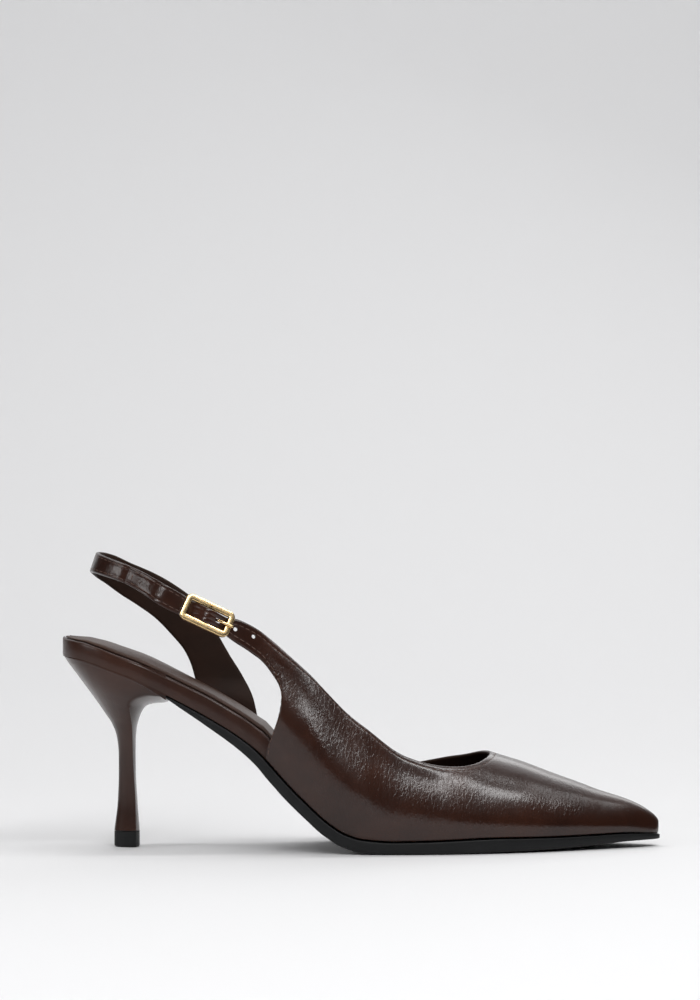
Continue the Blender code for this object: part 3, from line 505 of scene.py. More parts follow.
def ball_level(x):
    """Height of the feather line where the arch adds nothing."""
    thick = SOLE_THICKNESS * np.minimum(read(PROFILE, "sole", np.maximum(x, 0.5 * SHOE_LENGTH)), 2)
    return GAP + thick + EDGE_ROLL + TOE_SPRING * read(PROFILE, "spring", x)


def feather(x):
    """Height of the feather line, where the upper and the insole meet the outsole."""
    arch = read(PROFILE, "arch", x)
    return ball_level(x) * (1 - arch) + SEAT_HEIGHT * arch


def slant(x):
    """Length of the profile for each unit of x."""
    step = 0.002 * SHOE_LENGTH
    rise = feather(np.minimum(x + step, SHOE_LENGTH)) - feather(np.maximum(x - step, 0))
    return np.sqrt(1 + (rise / (2 * step)) ** 2)


def rim_top(x):
    """Height of the insole's upper face."""
    return feather(x) + RIM_THICKNESS * read(PROFILE, "rim", x) * slant(x)


def edge_roll(x):
    """How far the tread's edge is rolled up from the floor."""
    return EDGE_ROLL * ramp(x, 1.15 * HEEL_REACH, 0.33 * SHOE_LENGTH)


def sole_edge(x):
    """Height of the outsole's lower edge."""
    return feather(x) - GAP - sole_depth(x) * slant(x)


def instep(x):
    """Height of the ridge over the feather line."""
    return INSTEP_HEIGHT * read(LAST, "instep", x)


def upper_reach(x, side):
    """Half width of the upper's outer face at the feather line."""
    return sole_reach(x, side) - cover(x, side) + COVER


def surface(x, girth, side):
    """Points of the upper's outer face: girth 0 on the feather line, 1 on the ridge."""
    rise = np.sin(np.clip(girth, 0, 1) * math.pi / 2)
    swell = 1 - (1 - np.minimum(rise / SWELL_TOP, 1)) ** 2
    edge = np.where(side < 0, upper_reach(x, LATERAL), upper_reach(x, MEDIAL))
    edge = edge * (1 + read(LAST, "swell", x) * swell)
    across = edge * np.sqrt(np.maximum(1 - rise ** read(LAST, "full", x), 0))
    return np.stack([x, centre_line(x) + side * across, feather(x) + instep(x) * rise], axis=-1)


def half_girth(x, side):
    """Length round half the section, from feather line to ridge, near enough to lay it flat."""
    reach = np.where(side < 0, upper_reach(x, LATERAL), upper_reach(x, MEDIAL))
    return math.pi / 2 * np.sqrt((reach**2 + instep(x) ** 2) / 2)


def flat_pattern(x, girth, side):
    """The upper laid flat: the place along the shoe and the distance round from the ridge."""
    return np.stack([x, side * (1 - girth) * half_girth(x, side)], axis=-1)


ball_station = 0.63 * SHOE_LENGTH
print("half girth at the ball, outer side:", round(float(half_girth(ball_station, LATERAL)) * 1000, 1), "mm")

# %% [markdown]
# ### Outlines one inside another
# The sole, the insole and the pad share one outline in plan, each a little inside the one below. Moving an
# outline inwards by the same distance everywhere, square to itself, keeps its toe pointed as a cutter would.

# %% Outlines


def inset_reach(reach, inset):
    """An outline moved inwards, square to itself, by a distance that inset gives at each place."""

    def inner(x, side):
        step = 0.001 * SHOE_LENGTH
        ahead = reach(np.minimum(x + step, SHOE_LENGTH), side)
        behind = reach(np.maximum(x - step, 0), side)
        lean = (ahead - behind) / (2 * step)
        return np.maximum(reach(x, side) - inset(x, side) * np.sqrt(1 + lean**2), 0)

    return inner


def ends_of(reach):
    """The stations where an inset outline closes, at the seat's back and at the toe."""
    x = SHOE_LENGTH * (1 - np.cos(np.linspace(0, math.pi, 1200))) / 2
    open_here = np.minimum(reach(x, LATERAL), reach(x, MEDIAL)) > GAP
    inside = x[open_here]
    return inside[0], inside[-1]


def pad_depth(x):
    """The footbed's thickness, skived thinner at the back of the seat."""
    return FOOTBED_THICKNESS * (0.45 + 0.55 * ramp(x, 0.01 * SHOE_LENGTH, 0.09 * SHOE_LENGTH))


def seat_top(x):
    """Height of the heel's top: under the insole, and in front under the outsole's tail."""
    tail = ramp(x, 0.85 * SOLE_START, 0.98 * SOLE_START)
    return feather(x) - GAP - tail * (sole_depth(x) * slant(x) + GAP)


# the insole's outline: flush with the heel behind, clear of the upper's wall in front
rim_outline = inset_reach(sole_reach, cover)
print("rim from", [round(float(x) * 1000, 1) for x in ends_of(rim_outline)], "mm")

# %% [markdown]
# ### Strap and buckle
# The strap lies on the last's outer side, 8 mm wide and square to its own run. The buckle gets a frame of its
# own there: along the strap, up across it and out from the foot. The strap's end rises over the buckle's
# middle bar, and the sling's thin tab is folded round the same bar from behind.

# %% Strap and buckle


def side_point(x, height):
    """A point of the lateral surface at the given place and height over the feather line."""
    x = np.asarray(x, float)
    girth = np.arcsin(np.clip(height / instep(x), 0, 1)) * 2 / math.pi
    return surface(x, girth, np.full_like(x, LATERAL))


def strap_edges(x, width):
    """The two edges of the strap on the lateral side, square to its run, centred at x."""
    x = np.asarray(x, float)
    step = 0.004 * SHOE_LENGTH
    here = INSTEP_HEIGHT * read(STRAP_LINE, "rise", x)
    ahead = feather(x + step) + INSTEP_HEIGHT * read(STRAP_LINE, "rise", x + step)
    behind = feather(x - step) + INSTEP_HEIGHT * read(STRAP_LINE, "rise", x - step)
    slope = (ahead - behind) / (2 * step)
    lean = np.arctan(slope)
    level = feather(x) + here
    edges = []
    for way in (1, -1):
        edge_x = x - way * np.sin(lean) * width / 2
        edge_z = level + way * np.cos(lean) * width / 2
        edges.append(side_point(edge_x, edge_z - feather(edge_x)))
    return edges


def buckle_axes():
    """The buckle's own frame: its middle, and its directions along, up and out from the foot."""
    half = BUCKLE_LENGTH / 2 - FRAME_WIRE / 2
    top, low = strap_edges([BUCKLE_PLACE - half, BUCKLE_PLACE + half], STRAP_WIDTH)
    ends = (top + low) / 2
    forward = unit(ends[1] - ends[0])
    out = unit(np.cross(forward, (top - low).mean(axis=0)))
    out = out * -np.sign(out[1])
    up = np.cross(out, forward)
    up = up * np.sign(up[2])
    middle = ends.mean(axis=0) + out * (GAP + FRAME_WIRE / 2)
    return middle, forward, up, out


def bar_level():
    """Height of the middle bar's centre over the strap's outer face."""
    middle, forward, up, out = buckle_axes()
    top, low = strap_edges([BUCKLE_PLACE], STRAP_WIDTH)
    return (middle - (top + low)[0] / 2) @ out - BAR_DROP


def strap_lift(run):
    """How far the strap's end rises to pass over the middle bar, at a distance along from it."""
    half = BUCKLE_LENGTH / 2 - FRAME_WIRE / 2
    crest = bar_level() + BAR_WIRE / 2 + 2 * GAP + TAB_WALL + UPPER_WALL
    return crest * (1 - ramp(np.abs(run), 0, half))


def sling_edges():
    """Both edges of the strap's outer face from the middle bar round the heel to the sole."""
    x = BUCKLE_PLACE - BUCKLE_LENGTH * np.array([0, 0.2, 0.4, 0.6, 0.78])
    widened = ramp(BUCKLE_PLACE - x, 0.3 * BUCKLE_LENGTH, 0.5 * BUCKLE_LENGTH)
    width = STRAP_PASS + (STRAP_WIDTH - STRAP_PASS) * widened
    edges = []
    for k, (name, near) in enumerate(zip(("top", "low"), strap_edges(x, width))):
        x = SHOE_LENGTH * SLING[name + "_station"]
        y = SEAT_WIDTH / 2 * SLING[name + "_reach"]
        z = feather(x) + INSTEP_HEIGHT * SLING[name + "_rise"]
        station, rise = np.array(SLING_BASE)[:, k].T
        foot_x = SHOE_LENGTH * station
        foot_y = centre_line(foot_x) + rim_outline(foot_x, MEDIAL) + GAP + BACK_STRAP_WALL
        foot_y = foot_y + BASE_LEAN * np.maximum(INSTEP_HEIGHT * rise - RIM_THICKNESS, 0)
        foot = np.stack([foot_x, foot_y, feather(foot_x) + INSTEP_HEIGHT * rise], axis=-1)
        edges.append(np.concatenate([near, np.stack([x, y, z], axis=-1), foot]))
    return edges


def sling_length(top, low):
    """Distances of the sling's rows from the middle bar, measured along its centre."""
    return distances((top + low) / 2)


def strap_points(edges, run, level, across):
    """Rows of points at a distance along the sling and a level over its outer face."""
    top, low = edges
    length = sling_length(top, low)
    shares = across[None, :, None]

    def row(at):
        at = np.clip(at, 0, length[-1])
        first = np.stack([curve(length, column, at) for column in top.T], axis=-1)
        last = np.stack([curve(length, column, at) for column in low.T], axis=-1)
        return first, last

    first, last = row(run)
    (first_on, last_on), (first_back, last_back) = row(run + 2 * GAP), row(run - 2 * GAP)
    ahead = first_on + last_on - first_back - last_back
    out = unit(np.cross(ahead, last - first))
    flat = first[:, None] * (1 - shares) + last[:, None] * shares
    foot = ramp(run, 0.78 * length[-1], 0.93 * length[-1])[:, None]
    bow = []
    for line in (lambda x: centre_line(x) + rim_outline(x, MEDIAL), feather):
        chord = line(first[:, :1]) * (1 - shares[..., 0]) + line(last[:, :1]) * shares[..., 0]
        bow.append(foot * (line(flat[..., 0]) - chord))
    flat = flat + np.stack([0 * bow[0], *bow], axis=-1)
    return flat + (out * np.asarray(level)[:, None])[:, None]


def tab_levels(run):
    """Levels of the tab's two layers over the strap's outer face."""
    stack = UPPER_WALL + GAP + TAB_WALL / 2
    slope = (strap_lift(run + GAP) - strap_lift(run - GAP)) / (2 * GAP)
    lean = np.sqrt(1 + slope**2)
    rise = (stack - TAB_WALL) * ramp(run, 0.65 * BUCKLE_LENGTH, 1.6 * BUCKLE_LENGTH)
    outer = strap_lift(run) - stack * lean + rise
    under_bar = bar_level() - BAR_WIRE / 2 - GAP - TAB_WALL / 2
    inner = np.minimum(under_bar, outer - (TAB_WALL + GAP) * lean)
    return outer, inner


def frame_point(along_it, up_it, out_of_it):
    """A point given in the buckle's own frame."""
    middle, forward, up, out = buckle_axes()
    return middle + along_it * forward + up_it * up + out_of_it * out


def normals(grid):
    """Directions square to a grid of points."""
    return unit(np.cross(np.gradient(grid, axis=0), np.gradient(grid, axis=1)))


middle, forward, up, out = buckle_axes()
print("buckle's middle, mm:", (middle * 1000).round(1), "facing", out.round(2))

# %% [markdown]
# ## Gloss, grain and colour
# Colours are given as sRGB hex values and turned to linear in one function. Another adds a shader node with
# its settings and links, so each finish reads as a short recipe.

# %% Colour and node helpers


def linear(hex_colour):
    """sRGB hex to the linear colour that shaders work in."""
    parts = [int(hex_colour[i:i + 2], 16) / 255 for i in (1, 3, 5)]
    return (*[c / 12.92 if c <= 0.04045 else ((c + 0.055) / 1.055) ** 2.4 for c in parts], 1.0)


def add(tree, kind, inputs=None, **settings):
    """Adds a node; inputs maps its sockets to values or to other nodes' outputs."""
    node = tree.nodes.new("ShaderNode" + kind)
    for name, value in settings.items():
        setattr(node, name, value)
    for socket, value in (inputs or {}).items():
        if isinstance(value, bpy.types.NodeSocket):
            tree.links.new(value, node.inputs[socket])
        else:
            node.inputs[socket].default_value = value
    return node


def new_finish(name, **values):
    """A material with its Principled shader's own sockets set."""
    material = bpy.data.materials.new(name)
    material.use_nodes = True
    tree = material.node_tree
    shader = tree.nodes["Principled BSDF"]
    for socket, value in values.items():
        shader.inputs[socket.replace("_", " ")].default_value = value
    return material, tree, shader


def shades(tree, factor, *stops):
    """A colour ramp over a factor: stops are (place, hex colour)."""
    ramp_node = add(tree, "ValToRGB", {"Fac": factor})
    elements = ramp_node.color_ramp.elements
    while len(elements) < len(stops):
        elements.new(0.5)
    for element, (place, colour) in zip(elements, stops):
        element.position = place
        element.color = linear(colour)
    return ramp_node.outputs["Color"]


def stack_bumps(tree, shader, *layers):
    """Adds bump layers, each a height and its depth in metres, one on another."""
    below = None
    for height, depth in layers:
        inputs = {"Height": height, "Distance": depth, "Strength": 1.0}
        if below is not None:
            inputs["Normal"] = below
        below = add(tree, "Bump", inputs).outputs["Normal"]
    tree.links.new(below, shader.inputs["Normal"])


print("a mid grey, #808080, is", round(linear("#808080")[0], 3), "in linear light")

# %% [markdown]
# ### Glazed crinkle calf
# The upper is cow leather, dyed through in dark brown and glazed with a clear finish. Pulled over the last it
# crinkles: fine short wrinkles, 1 to 2 mm apart, mostly square to the foot, that break up every highlight.
# They are far too shallow to model, so they are a bump: one stretched noise gives the wrinkles, in patches,
# over a slow swell, and a fine crackle lies on top. The clear finish is a coat over the duller leather. It
# follows the same bump, so that the wrinkles break up its gloss too.

# %% Leather finishes


def noise(tree, place, scale, detail, **more):
    """A soft noise; scale is counted in cells to the metre."""
    return add(tree, "TexNoise", {"Vector": place, "Scale": scale, "Detail": detail, **more}).outputs["Fac"]


def spread(tree, value, low, high, to_low=0.0, to_high=1.0, **settings):
    """Stretches the values between low and high over a new range."""
    limits = {"Value": value, "From Min": low, "From Max": high, "To Min": to_low, "To Max": to_high}
    return add(tree, "MapRange", limits, **settings).outputs["Result"]


def cell_lines(tree, place, scale, breadth):
    """The lines between small cells, level again beyond their breadth."""
    edge = add(tree, "TexVoronoi", {"Vector": place, "Scale": scale}, feature="DISTANCE_TO_EDGE")
    return spread(tree, edge.outputs["Distance"], 0.0, breadth)


def mottled(tree, shader, scale, detail, *stops, **more):
    """Uneven dye: a colour ramp read through a noise. Gives back the place on the piece."""
    place = add(tree, "TexCoord").outputs["Object"]
    cloud = noise(tree, place, scale, detail, **more)
    tree.links.new(shades(tree, cloud, *stops), shader.inputs["Base Color"])
    return place


def crinkle_calf(name, dark, mid, light, gloss, wrinkle, coat):
    """Dyed calf with a clear glaze; gloss is the leather's roughness, wrinkle the bump's depth in mm."""
    material, tree, shader = new_finish(
        name,
        Roughness=gloss,
        Specular_IOR_Level=0.22,
        IOR=1.42,
        Coat_Weight=coat,
        Coat_Roughness=0.17,
        Coat_IOR=1.50,
    )
    place = mottled(tree, shader, 45.0, 3.0, (0.25, dark), (0.5, mid), (0.78, light), Roughness=0.55)
    # wrinkles run down the side: close together along the shoe, long from sole to topline
    stretch = {"Vector": place, "Scale": (1.0, 0.6, 0.42), "Rotation": (0, -0.35, 0)}
    stretched = add(tree, "Mapping", stretch).outputs["Vector"]
    wave = noise(tree, stretched, 1000.0, 2.0, Roughness=0.5, Distortion=0.8)
    crest = spread(tree, wave, 0.38, 0.66, interpolation_type="SMOOTHSTEP")
    # they come and go over the shoe in patches
    patch = spread(tree, noise(tree, place, 38.0, 1.0), 0.30, 0.60)
    ridges = add(tree, "Math", {0: crest, 1: patch}, operation="MULTIPLY").outputs["Value"]
    stack_bumps(
        tree,
        shader,
        (noise(tree, place, 90.0, 2.0), 3.0 * wrinkle * MM),
        (ridges, wrinkle * MM),
        (cell_lines(tree, place, 900.0, 0.10), 0.12 * wrinkle * MM),
    )
    tree.links.new(shader.inputs["Normal"].links[0].from_socket, shader.inputs["Coat Normal"])
    return material


upper_calf = crinkle_calf("glazed crinkle calf", "#220f08", "#2c150c", "#391e13", 0.33, 0.036, 0.65)
heel_calf = crinkle_calf("glazed heel calf", "#29150d", "#321b12", "#3d241a", 0.36, 0.015, 0.6)
rim_calf = crinkle_calf("wrapped insole calf", "#29150d", "#321b12", "#3d241a", 0.42, 0.015, 0.4)
print("calf finishes:", upper_calf.name, heel_calf.name, rim_calf.name)

# %% [markdown]
# ### Lining, sock, sole, thread and gold
# The lining and the sock under the foot are smooth kid leather, softer and less glossy than the outside, with
# fine pores. The unit sole and the heel's wear piece are moulded black rubber: nearly black, satin, with a
# faint moulding grain. The thread is waxed and a little lighter than the leather. The buckle is brass plated
# with gold: a metal, so its colour is its reflection, and fine polishing marks widen the gloss in places.

# %% Kid, rubber, thread and gold


def smooth_kid(name, dark, light, roughness, level):
    """Thin soft leather with pores; level is how much it shines."""
    material, tree, shader = new_finish(name, Roughness=roughness, IOR=1.4, Specular_IOR_Level=level)
    place = mottled(tree, shader, 60.0, 4.0, (0.3, dark), (0.7, light))
    pores = cell_lines(tree, place, 1600.0, 0.25)
    stack_bumps(tree, shader, (noise(tree, place, 220.0, 2.0), 0.06 * MM), (pores, 0.02 * MM))
    return material


lining_kid = smooth_kid("lining kid", "#24160f", "#2f1d15", 0.62, 0.2)
sock_kid = smooth_kid("sock kid", "#3a271e", "#473127", 0.45, 0.35)


def moulded_rubber(name, dark, light, roughness):
    """Black rubber as it comes from the mould."""
    material, tree, shader = new_finish(name, Roughness=roughness, IOR=1.45, Specular_IOR_Level=0.35)
    place = mottled(tree, shader, 120.0, 3.0, (0.3, dark), (0.7, light))
    stack_bumps(tree, shader, (noise(tree, place, 1800.0, 2.0), 0.02 * MM))
    return material


sole_rubber = moulded_rubber("moulded black rubber", "#0d0e0f", "#131415", 0.48)

thread, thread_tree, thread_shader = new_finish("waxed thread", Roughness=0.55, IOR=1.5)
thread_shader.inputs["Base Color"].default_value = linear("#5a4034")
twist_place = add(thread_tree, "TexCoord").outputs["Object"]
twist = add(thread_tree, "TexWave", {"Vector": twist_place, "Scale": 900.0, "Distortion": 1.0})
stack_bumps(thread_tree, thread_shader, (twist.outputs["Fac"], 0.05 * MM))

gold, gold_tree, gold_shader = new_finish("gold plated brass", Metallic=1.0)
gold_shader.inputs["Base Color"].default_value = linear("#e3c592")
marks = noise(gold_tree, add(gold_tree, "TexCoord").outputs["Object"], 260.0, 1.0)
gold_tree.links.new(spread(gold_tree, marks, 0.0, 1.0, 0.18, 0.27), gold_shader.inputs["Roughness"])
print("finishes:", len(bpy.data.materials))

# %% [markdown]
# ## The unit sole
# The sole is a moulded plate that follows the last's profile, from a thin tail on the heel to the pointed,
# slightly sprung toe. A stack of outlines, each a little further in or out, gives its rounded edges.

# %% Outlines in plan


def outline(reach, start, end, count):
    """Plan points from the front on the lateral side, round the back, to the front on the medial side."""
    turn = np.linspace(0, math.pi, count)
    x = start + (end - start) * (1 + np.cos(turn)) / 2
    lateral = np.stack([x, centre_line(x) - reach(x, LATERAL)], axis=-1)
    medial = np.stack([x, centre_line(x) + reach(x, MEDIAL)], axis=-1)
    return np.concatenate([lateral, medial[::-1]])


def drawn_in(loop, inset):
    """The outline moved inwards square to itself."""
    ahead = np.roll(loop, -1, axis=0) - np.roll(loop, 1, axis=0)
    ahead = unit(ahead)
    inward = np.stack([-ahead[:, 1], ahead[:, 0]], axis=-1)
    middle = loop.mean(axis=0)
    if ((middle - loop) * inward).sum() < 0:
        inward = -inward
    return loop + inward * inset


def plate(loop, levels, top, bottom, rungs=6, crown=0.0):
    """Points and faces of a plate with rounded edges.

    Levels are (inset, share of the height), rungs the quads across each flat face, and crown is how far
    the top stands up in its middle.
    """
    rings = []
    for inset, share in levels:
        flat = drawn_in(loop, inset)
        x = np.clip(flat[:, 0], 0, SHOE_LENGTH)
        z = bottom(x) + (top(x) - bottom(x)) * share
        rings.append(np.column_stack([flat, z]))
    count = len(loop)
    points = list(rings)
    faces = grid_faces(len(rings), count, 0, True)
    total = len(rings) * count
    for ring, first, face in ((rings[-1], (len(rings) - 1) * count, top), (rings[0], 0, bottom)):
        half = count // 2
        left, right = ring[:half], ring[::-1][:half]
        share = np.linspace(0, 1, rungs + 1)[None, 1:-1, None]
        inner = left[:, None] * (1 - share) + right[:, None] * share
        if face is top:
            inner[..., 2] += crown * 4 * share[..., 0] * (1 - share[..., 0])
        block = inner.reshape(-1, 3)
        points.append(block)
        table_of = np.empty((half, rungs + 1), int)
        table_of[:, 0] = first + np.arange(half)
        table_of[:, -1] = first + count - 1 - np.arange(half)
        table_of[:, 1:-1] = total + np.arange(half * (rungs - 1)).reshape(half, rungs - 1)
        total += len(block)
        for i in range(half - 1):
            for j in range(rungs):
                faces.append((table_of[i, j], table_of[i, j + 1], table_of[i + 1, j + 1], table_of[i + 1, j]))
    return np.concatenate(points), faces


def round_edges(low_inset, low_share, high_inset, high_share, steps=4):
    """Levels for a plate with quarter-round edges below and above."""
    turn = np.linspace(0, math.pi / 2, steps)
    low = [(low_inset * (1 - math.sin(t)), low_share * (1 - math.cos(t))) for t in turn]
    high = [(high_inset * (1 - math.cos(t)), 1 - high_share * (1 - math.sin(t))) for t in turn]
    return low + high


print("levels of a plate with round edges:", len(round_edges(MM, 0.2, MM, 0.2)))

# %% Sole
SOLE_LOOP = outline(sole_reach, SOLE_START, SHOE_LENGTH, 150)


def tread(x):
    """Height of the tread: it lies on the floor at the ball."""
    return np.maximum(sole_edge(x) - (edge_roll(x) + TREAD_FLAT), 0)


sole_points, sole_faces = plate(
    SOLE_LOOP,
    round_edges(0.0009, 0.22, 0.0005, 0.10),
    lambda x: feather(x) - SOLE_GAP * slant(x),
    tread,
)
make_piece("unit_sole", sole_points, sole_faces, [sole_rubber], "sole_rubber", ["outsole"])

# %% [markdown]
# ## The insole in its wrap
# The insole board shows as a rim round the waist and the seat, because the leather of this shoe leaves it
# open there. It is wrapped in the upper's leather, so both its edges are softly rounded.

# %% Insole
INSOLE_LOOP = outline(rim_outline, 0.0, SHOE_LENGTH - TIP_ROOM, 170)
insole_points, insole_faces = plate(
    INSOLE_LOOP,
    round_edges(0.0004, 0.06, 0.0010, 0.16),
    rim_top,
    feather,
)
make_piece("insole_wrap", insole_points, insole_faces, [rim_calf], "insole_leather", ["insole"])

# %% [markdown]
# ## The sock
# Foam and kid leather lie on the insole, 2 mm in from its edge. The pad is a low pillow: its edge turns down
# into the groove, and it crowns a little towards the middle.

# %% Sock
pad_reach = inset_reach(rim_outline, lambda x, side: FOOTBED_INSET)
pad_ends = ends_of(pad_reach)
PAD_LOOP = outline(pad_reach, pad_ends[0], pad_ends[1], 150)
sock_points, sock_faces = plate(
    PAD_LOOP,
    round_edges(0.0002, 0.10, 0.0016, 0.75, 6),
    lambda x: rim_top(x) + slant(x) * (GAP + pad_depth(x)),
    lambda x: rim_top(x) + slant(x) * GAP,
    10,
    0.0003,
)
sock_piece = make_piece("padded_sock", sock_points, sock_faces, [sock_kid], "sock_leather", ["footbed"])

# %% [markdown]
# ## The heel
# A plastic heel block covered in one piece of leather. Its sections run from the wide seat to the slim
# column: round at the back, with a crease down each side and a convex breast between the creases.

# %% Heel


def heel_section(row, run, breast):
    """One section of the heel, as in the solid model but with more points."""
    back_x, back_z, crease_x, crease_z, front_x, front_z, half, square = row
    side_run = np.concatenate([run[::-1], [0], run])
    side_of = np.repeat([LATERAL, 0, MEDIAL], [len(run), 1, len(run)])
    x = back_x + (crease_x - back_x) * side_run
    seat_x = HEEL_REACH * side_run
    reach = np.where(side_of < 0, sole_reach(seat_x, LATERAL), sole_reach(seat_x, MEDIAL))
    oval = np.sqrt(1 - (1 - side_run) ** 2)
    y = side_of * half * (square * reach / (SEAT_WIDTH / 2) + (1 - square) * oval)
    chord = seat_top(back_x) * (1 - side_run) + seat_top(crease_x) * side_run
    z = back_z + (crease_z - back_z) * side_run + square * (seat_top(x) - chord)
    u = np.linspace(1, -1, breast + 1)[1:-1]
    front = np.stack(
        [
            crease_x + (front_x - crease_x) * (1 - u * u),
            np.where(u > 0, u * y[-1], -u * y[0]),
            crease_z + (front_z - crease_z) * (1 - u * u),
        ],
        axis=-1,
    )
    return np.concatenate([np.stack([x, y, z], axis=-1), front])


FLARE_RINGS = 4
HEEL_RINGS = 66
SIDE_STEPS = 22
BREAST_STEPS = 20

# the top ring follows the underside of the insole and of the sole's tail; the last one is the straight tip
tip_height = TOP_PIECE_HEIGHT + GAP
tip_back = COLUMN_PLACE - TOP_PIECE_LENGTH / 2
tip_front = COLUMN_PLACE + TOP_PIECE_LENGTH / 2
tip_crease = tip_front - 0.12 * TOP_PIECE_LENGTH
seat_row = (0.0, SEAT_HEIGHT, HEEL_REACH, SEAT_HEIGHT, HEEL_REACH, SEAT_HEIGHT, SEAT_WIDTH / 2, 1)
tip_row = (tip_back, tip_height, tip_crease, tip_height, tip_front, tip_height, TOP_PIECE_WIDTH / 2, 0)
heel_rows = np.stack(list(HEEL.values()), axis=-1)
heel_rows = heel_rows * np.array((HEEL_REACH, SEAT_HEIGHT) * 3 + (SEAT_WIDTH / 2, 1))
heel_rows = np.concatenate([[seat_row], heel_rows, [tip_row]])
row_at = np.linspace(1, len(heel_rows) - 1, HEEL_RINGS)[1:]
row_at = np.concatenate([np.linspace(0, 1, FLARE_RINGS), row_at])
fine_rows = np.stack([curve(np.arange(len(heel_rows)), column, row_at) for column in heel_rows.T], axis=-1)
side_steps = 1 - np.cos(np.linspace(0, math.pi / 2, SIDE_STEPS)[1:])
side_steps = np.unique(np.concatenate([side_steps, HEEL_RUN]))
heel_rings = [heel_section(row, side_steps, BREAST_STEPS) for row in fine_rows]
heel_rings[0][:, 2] = seat_top(heel_rings[0][:, 0])

# the seat is closed by quads from side to side and one face at the breast, the tip by one face
ring_count = len(heel_rings[0])
heel_faces = grid_faces(len(heel_rings), ring_count, 0, True)
middle_back = len(side_steps)
last_side = 2 * middle_back
heel_faces.append((middle_back, middle_back - 1, middle_back + 1))
for k in range(1, middle_back):
    heel_faces.append((middle_back - k, middle_back - k - 1, middle_back + k + 1, middle_back + k))
heel_faces.append((0, last_side, *range(last_side + 1, ring_count)))
heel_faces.append(tuple((len(heel_rings) - 1) * ring_count + j for j in range(ring_count)))
make_piece("heel_cover", np.concatenate(heel_rings), heel_faces, [heel_calf], "heel_leather", ["heel"])

# %% [markdown]
# ### The heel's wear piece
# A plain block of rubber, glued under the tip and replaced when it is worn. The solid itself is shown, with
# the sole's rubber and a fine bevel on its edges.

# %% Heel's wear piece
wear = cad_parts["top_piece"]
wear.data.materials.clear()
wear.data.materials.append(sole_rubber)
wear_edge = wear.modifiers.new("worn edge", "BEVEL")
wear_edge.width = 0.00025
wear_edge.segments = 2
wear_edge.limit_method = "ANGLE"
wear_edge.angle_limit = math.radians(50)
print("wear piece's edge, mm:", wear_edge.width / MM)

# %% [markdown]
# ## The upper
# One leather wall: pointed vamp, lateral quarter, and the strap's end that runs on from it. It is laid out
# as a grid between its lower and its upper edge. Points crowd at every edge, where the wall's two faces close
# over it in a half circle, as a folded and stitched edge does.

# %% Upper's grid
# rows of points at these distances in from an edge; the first CAP of them also shape the strap's end
EDGE_STEPS = np.array([0.0, 0.06, 0.22, 0.45, 0.80, 1.3, 1.9, 2.1, 2.3, 3.0]) * MM
CAP = 6
# lengths of the cut-out's and the medial edge, near enough to turn those distances into shares of them
STRAP_RUN = 0.055
MEDIAL_RUN = 0.10
# rows between the two crowded edges, and how many columns on each side of the toe crowd them downwards
INNER_ROWS = 44
NOSE_SPREAD = 28


def along_at(points, shares):
    """Points at the given shares of the length of a smooth line."""
    points = np.asarray(points, float)
    run = distances(points)
    fine = np.linspace(0, run[-1], 80 * len(points))
    dense = np.stack([curve(run, column, fine) for column in points.T], axis=-1)
    length = distances(dense)
    at = np.asarray(shares) * length[-1]
    return np.stack([np.interp(at, length, column) for column in dense.T], axis=-1)


def edge_at(edge, side, shares):
    """Points of a cut line in the flat pattern."""
    x = edge["station"] * SHOE_LENGTH
    return along_at(flat_pattern(x, edge["girth"], side), shares)


def feather_at(start, end, side, shares):
    """Points of the feather line in the flat pattern, between two stations."""
    at = np.linspace(rounded(start), rounded(end), 400)
    x = SHOE_LENGTH * (1 - np.cos(math.pi * at)) / 2
    return along_at(flat_pattern(x, 0 * x, side), shares)


def upper_edges():
    """The lower and upper edges of the upper in the flat pattern, matched point by point."""
    strap = np.linspace(EDGE_STEPS[CAP] / STRAP_RUN, 1, 96)
    strap = np.concatenate([EDGE_STEPS[:CAP] / STRAP_RUN, strap])
    lateral = np.linspace(0, 1, 121)[1:]
    medial = np.linspace(0, 1 - EDGE_STEPS[CAP] / MEDIAL_RUN, 92)[1:]
    medial = np.concatenate([medial, 1 - EDGE_STEPS[:CAP][::-1] / MEDIAL_RUN])
    corner = CUT_OUT["station"][-1]
    lower = [
        edge_at(CUT_OUT, LATERAL, strap),
        feather_at(corner, 1, LATERAL, lateral),
        feather_at(1, MEDIAL_CORNER, MEDIAL, medial),
    ]
    higher = [
        edge_at(TOPLINE_REAR, LATERAL, strap),
        edge_at(TOPLINE_THROAT, LATERAL, lateral),
        edge_at(TOPLINE_MEDIAL, MEDIAL, medial),
    ]
    nose = len(strap) + len(lateral) - 1
    return np.concatenate(lower), np.concatenate(higher), nose


def pattern_points(flat):
    """Points of the last's surface for points of the flat pattern."""
    x, around = flat[..., 0], flat[..., 1]
    side = np.where(around < 0, LATERAL, MEDIAL)
    girth = 1 - np.abs(around) / np.maximum(half_girth(x, side), GAP)
    return surface(x, girth, side)


def outward(grid):
    """Directions square to a grid, away from the foot."""
    ways = normals(grid)
    third = grid.shape[0] // 3
    return -ways if ways[third, 2, 1] * grid[third, 2, 1] < 0 else ways


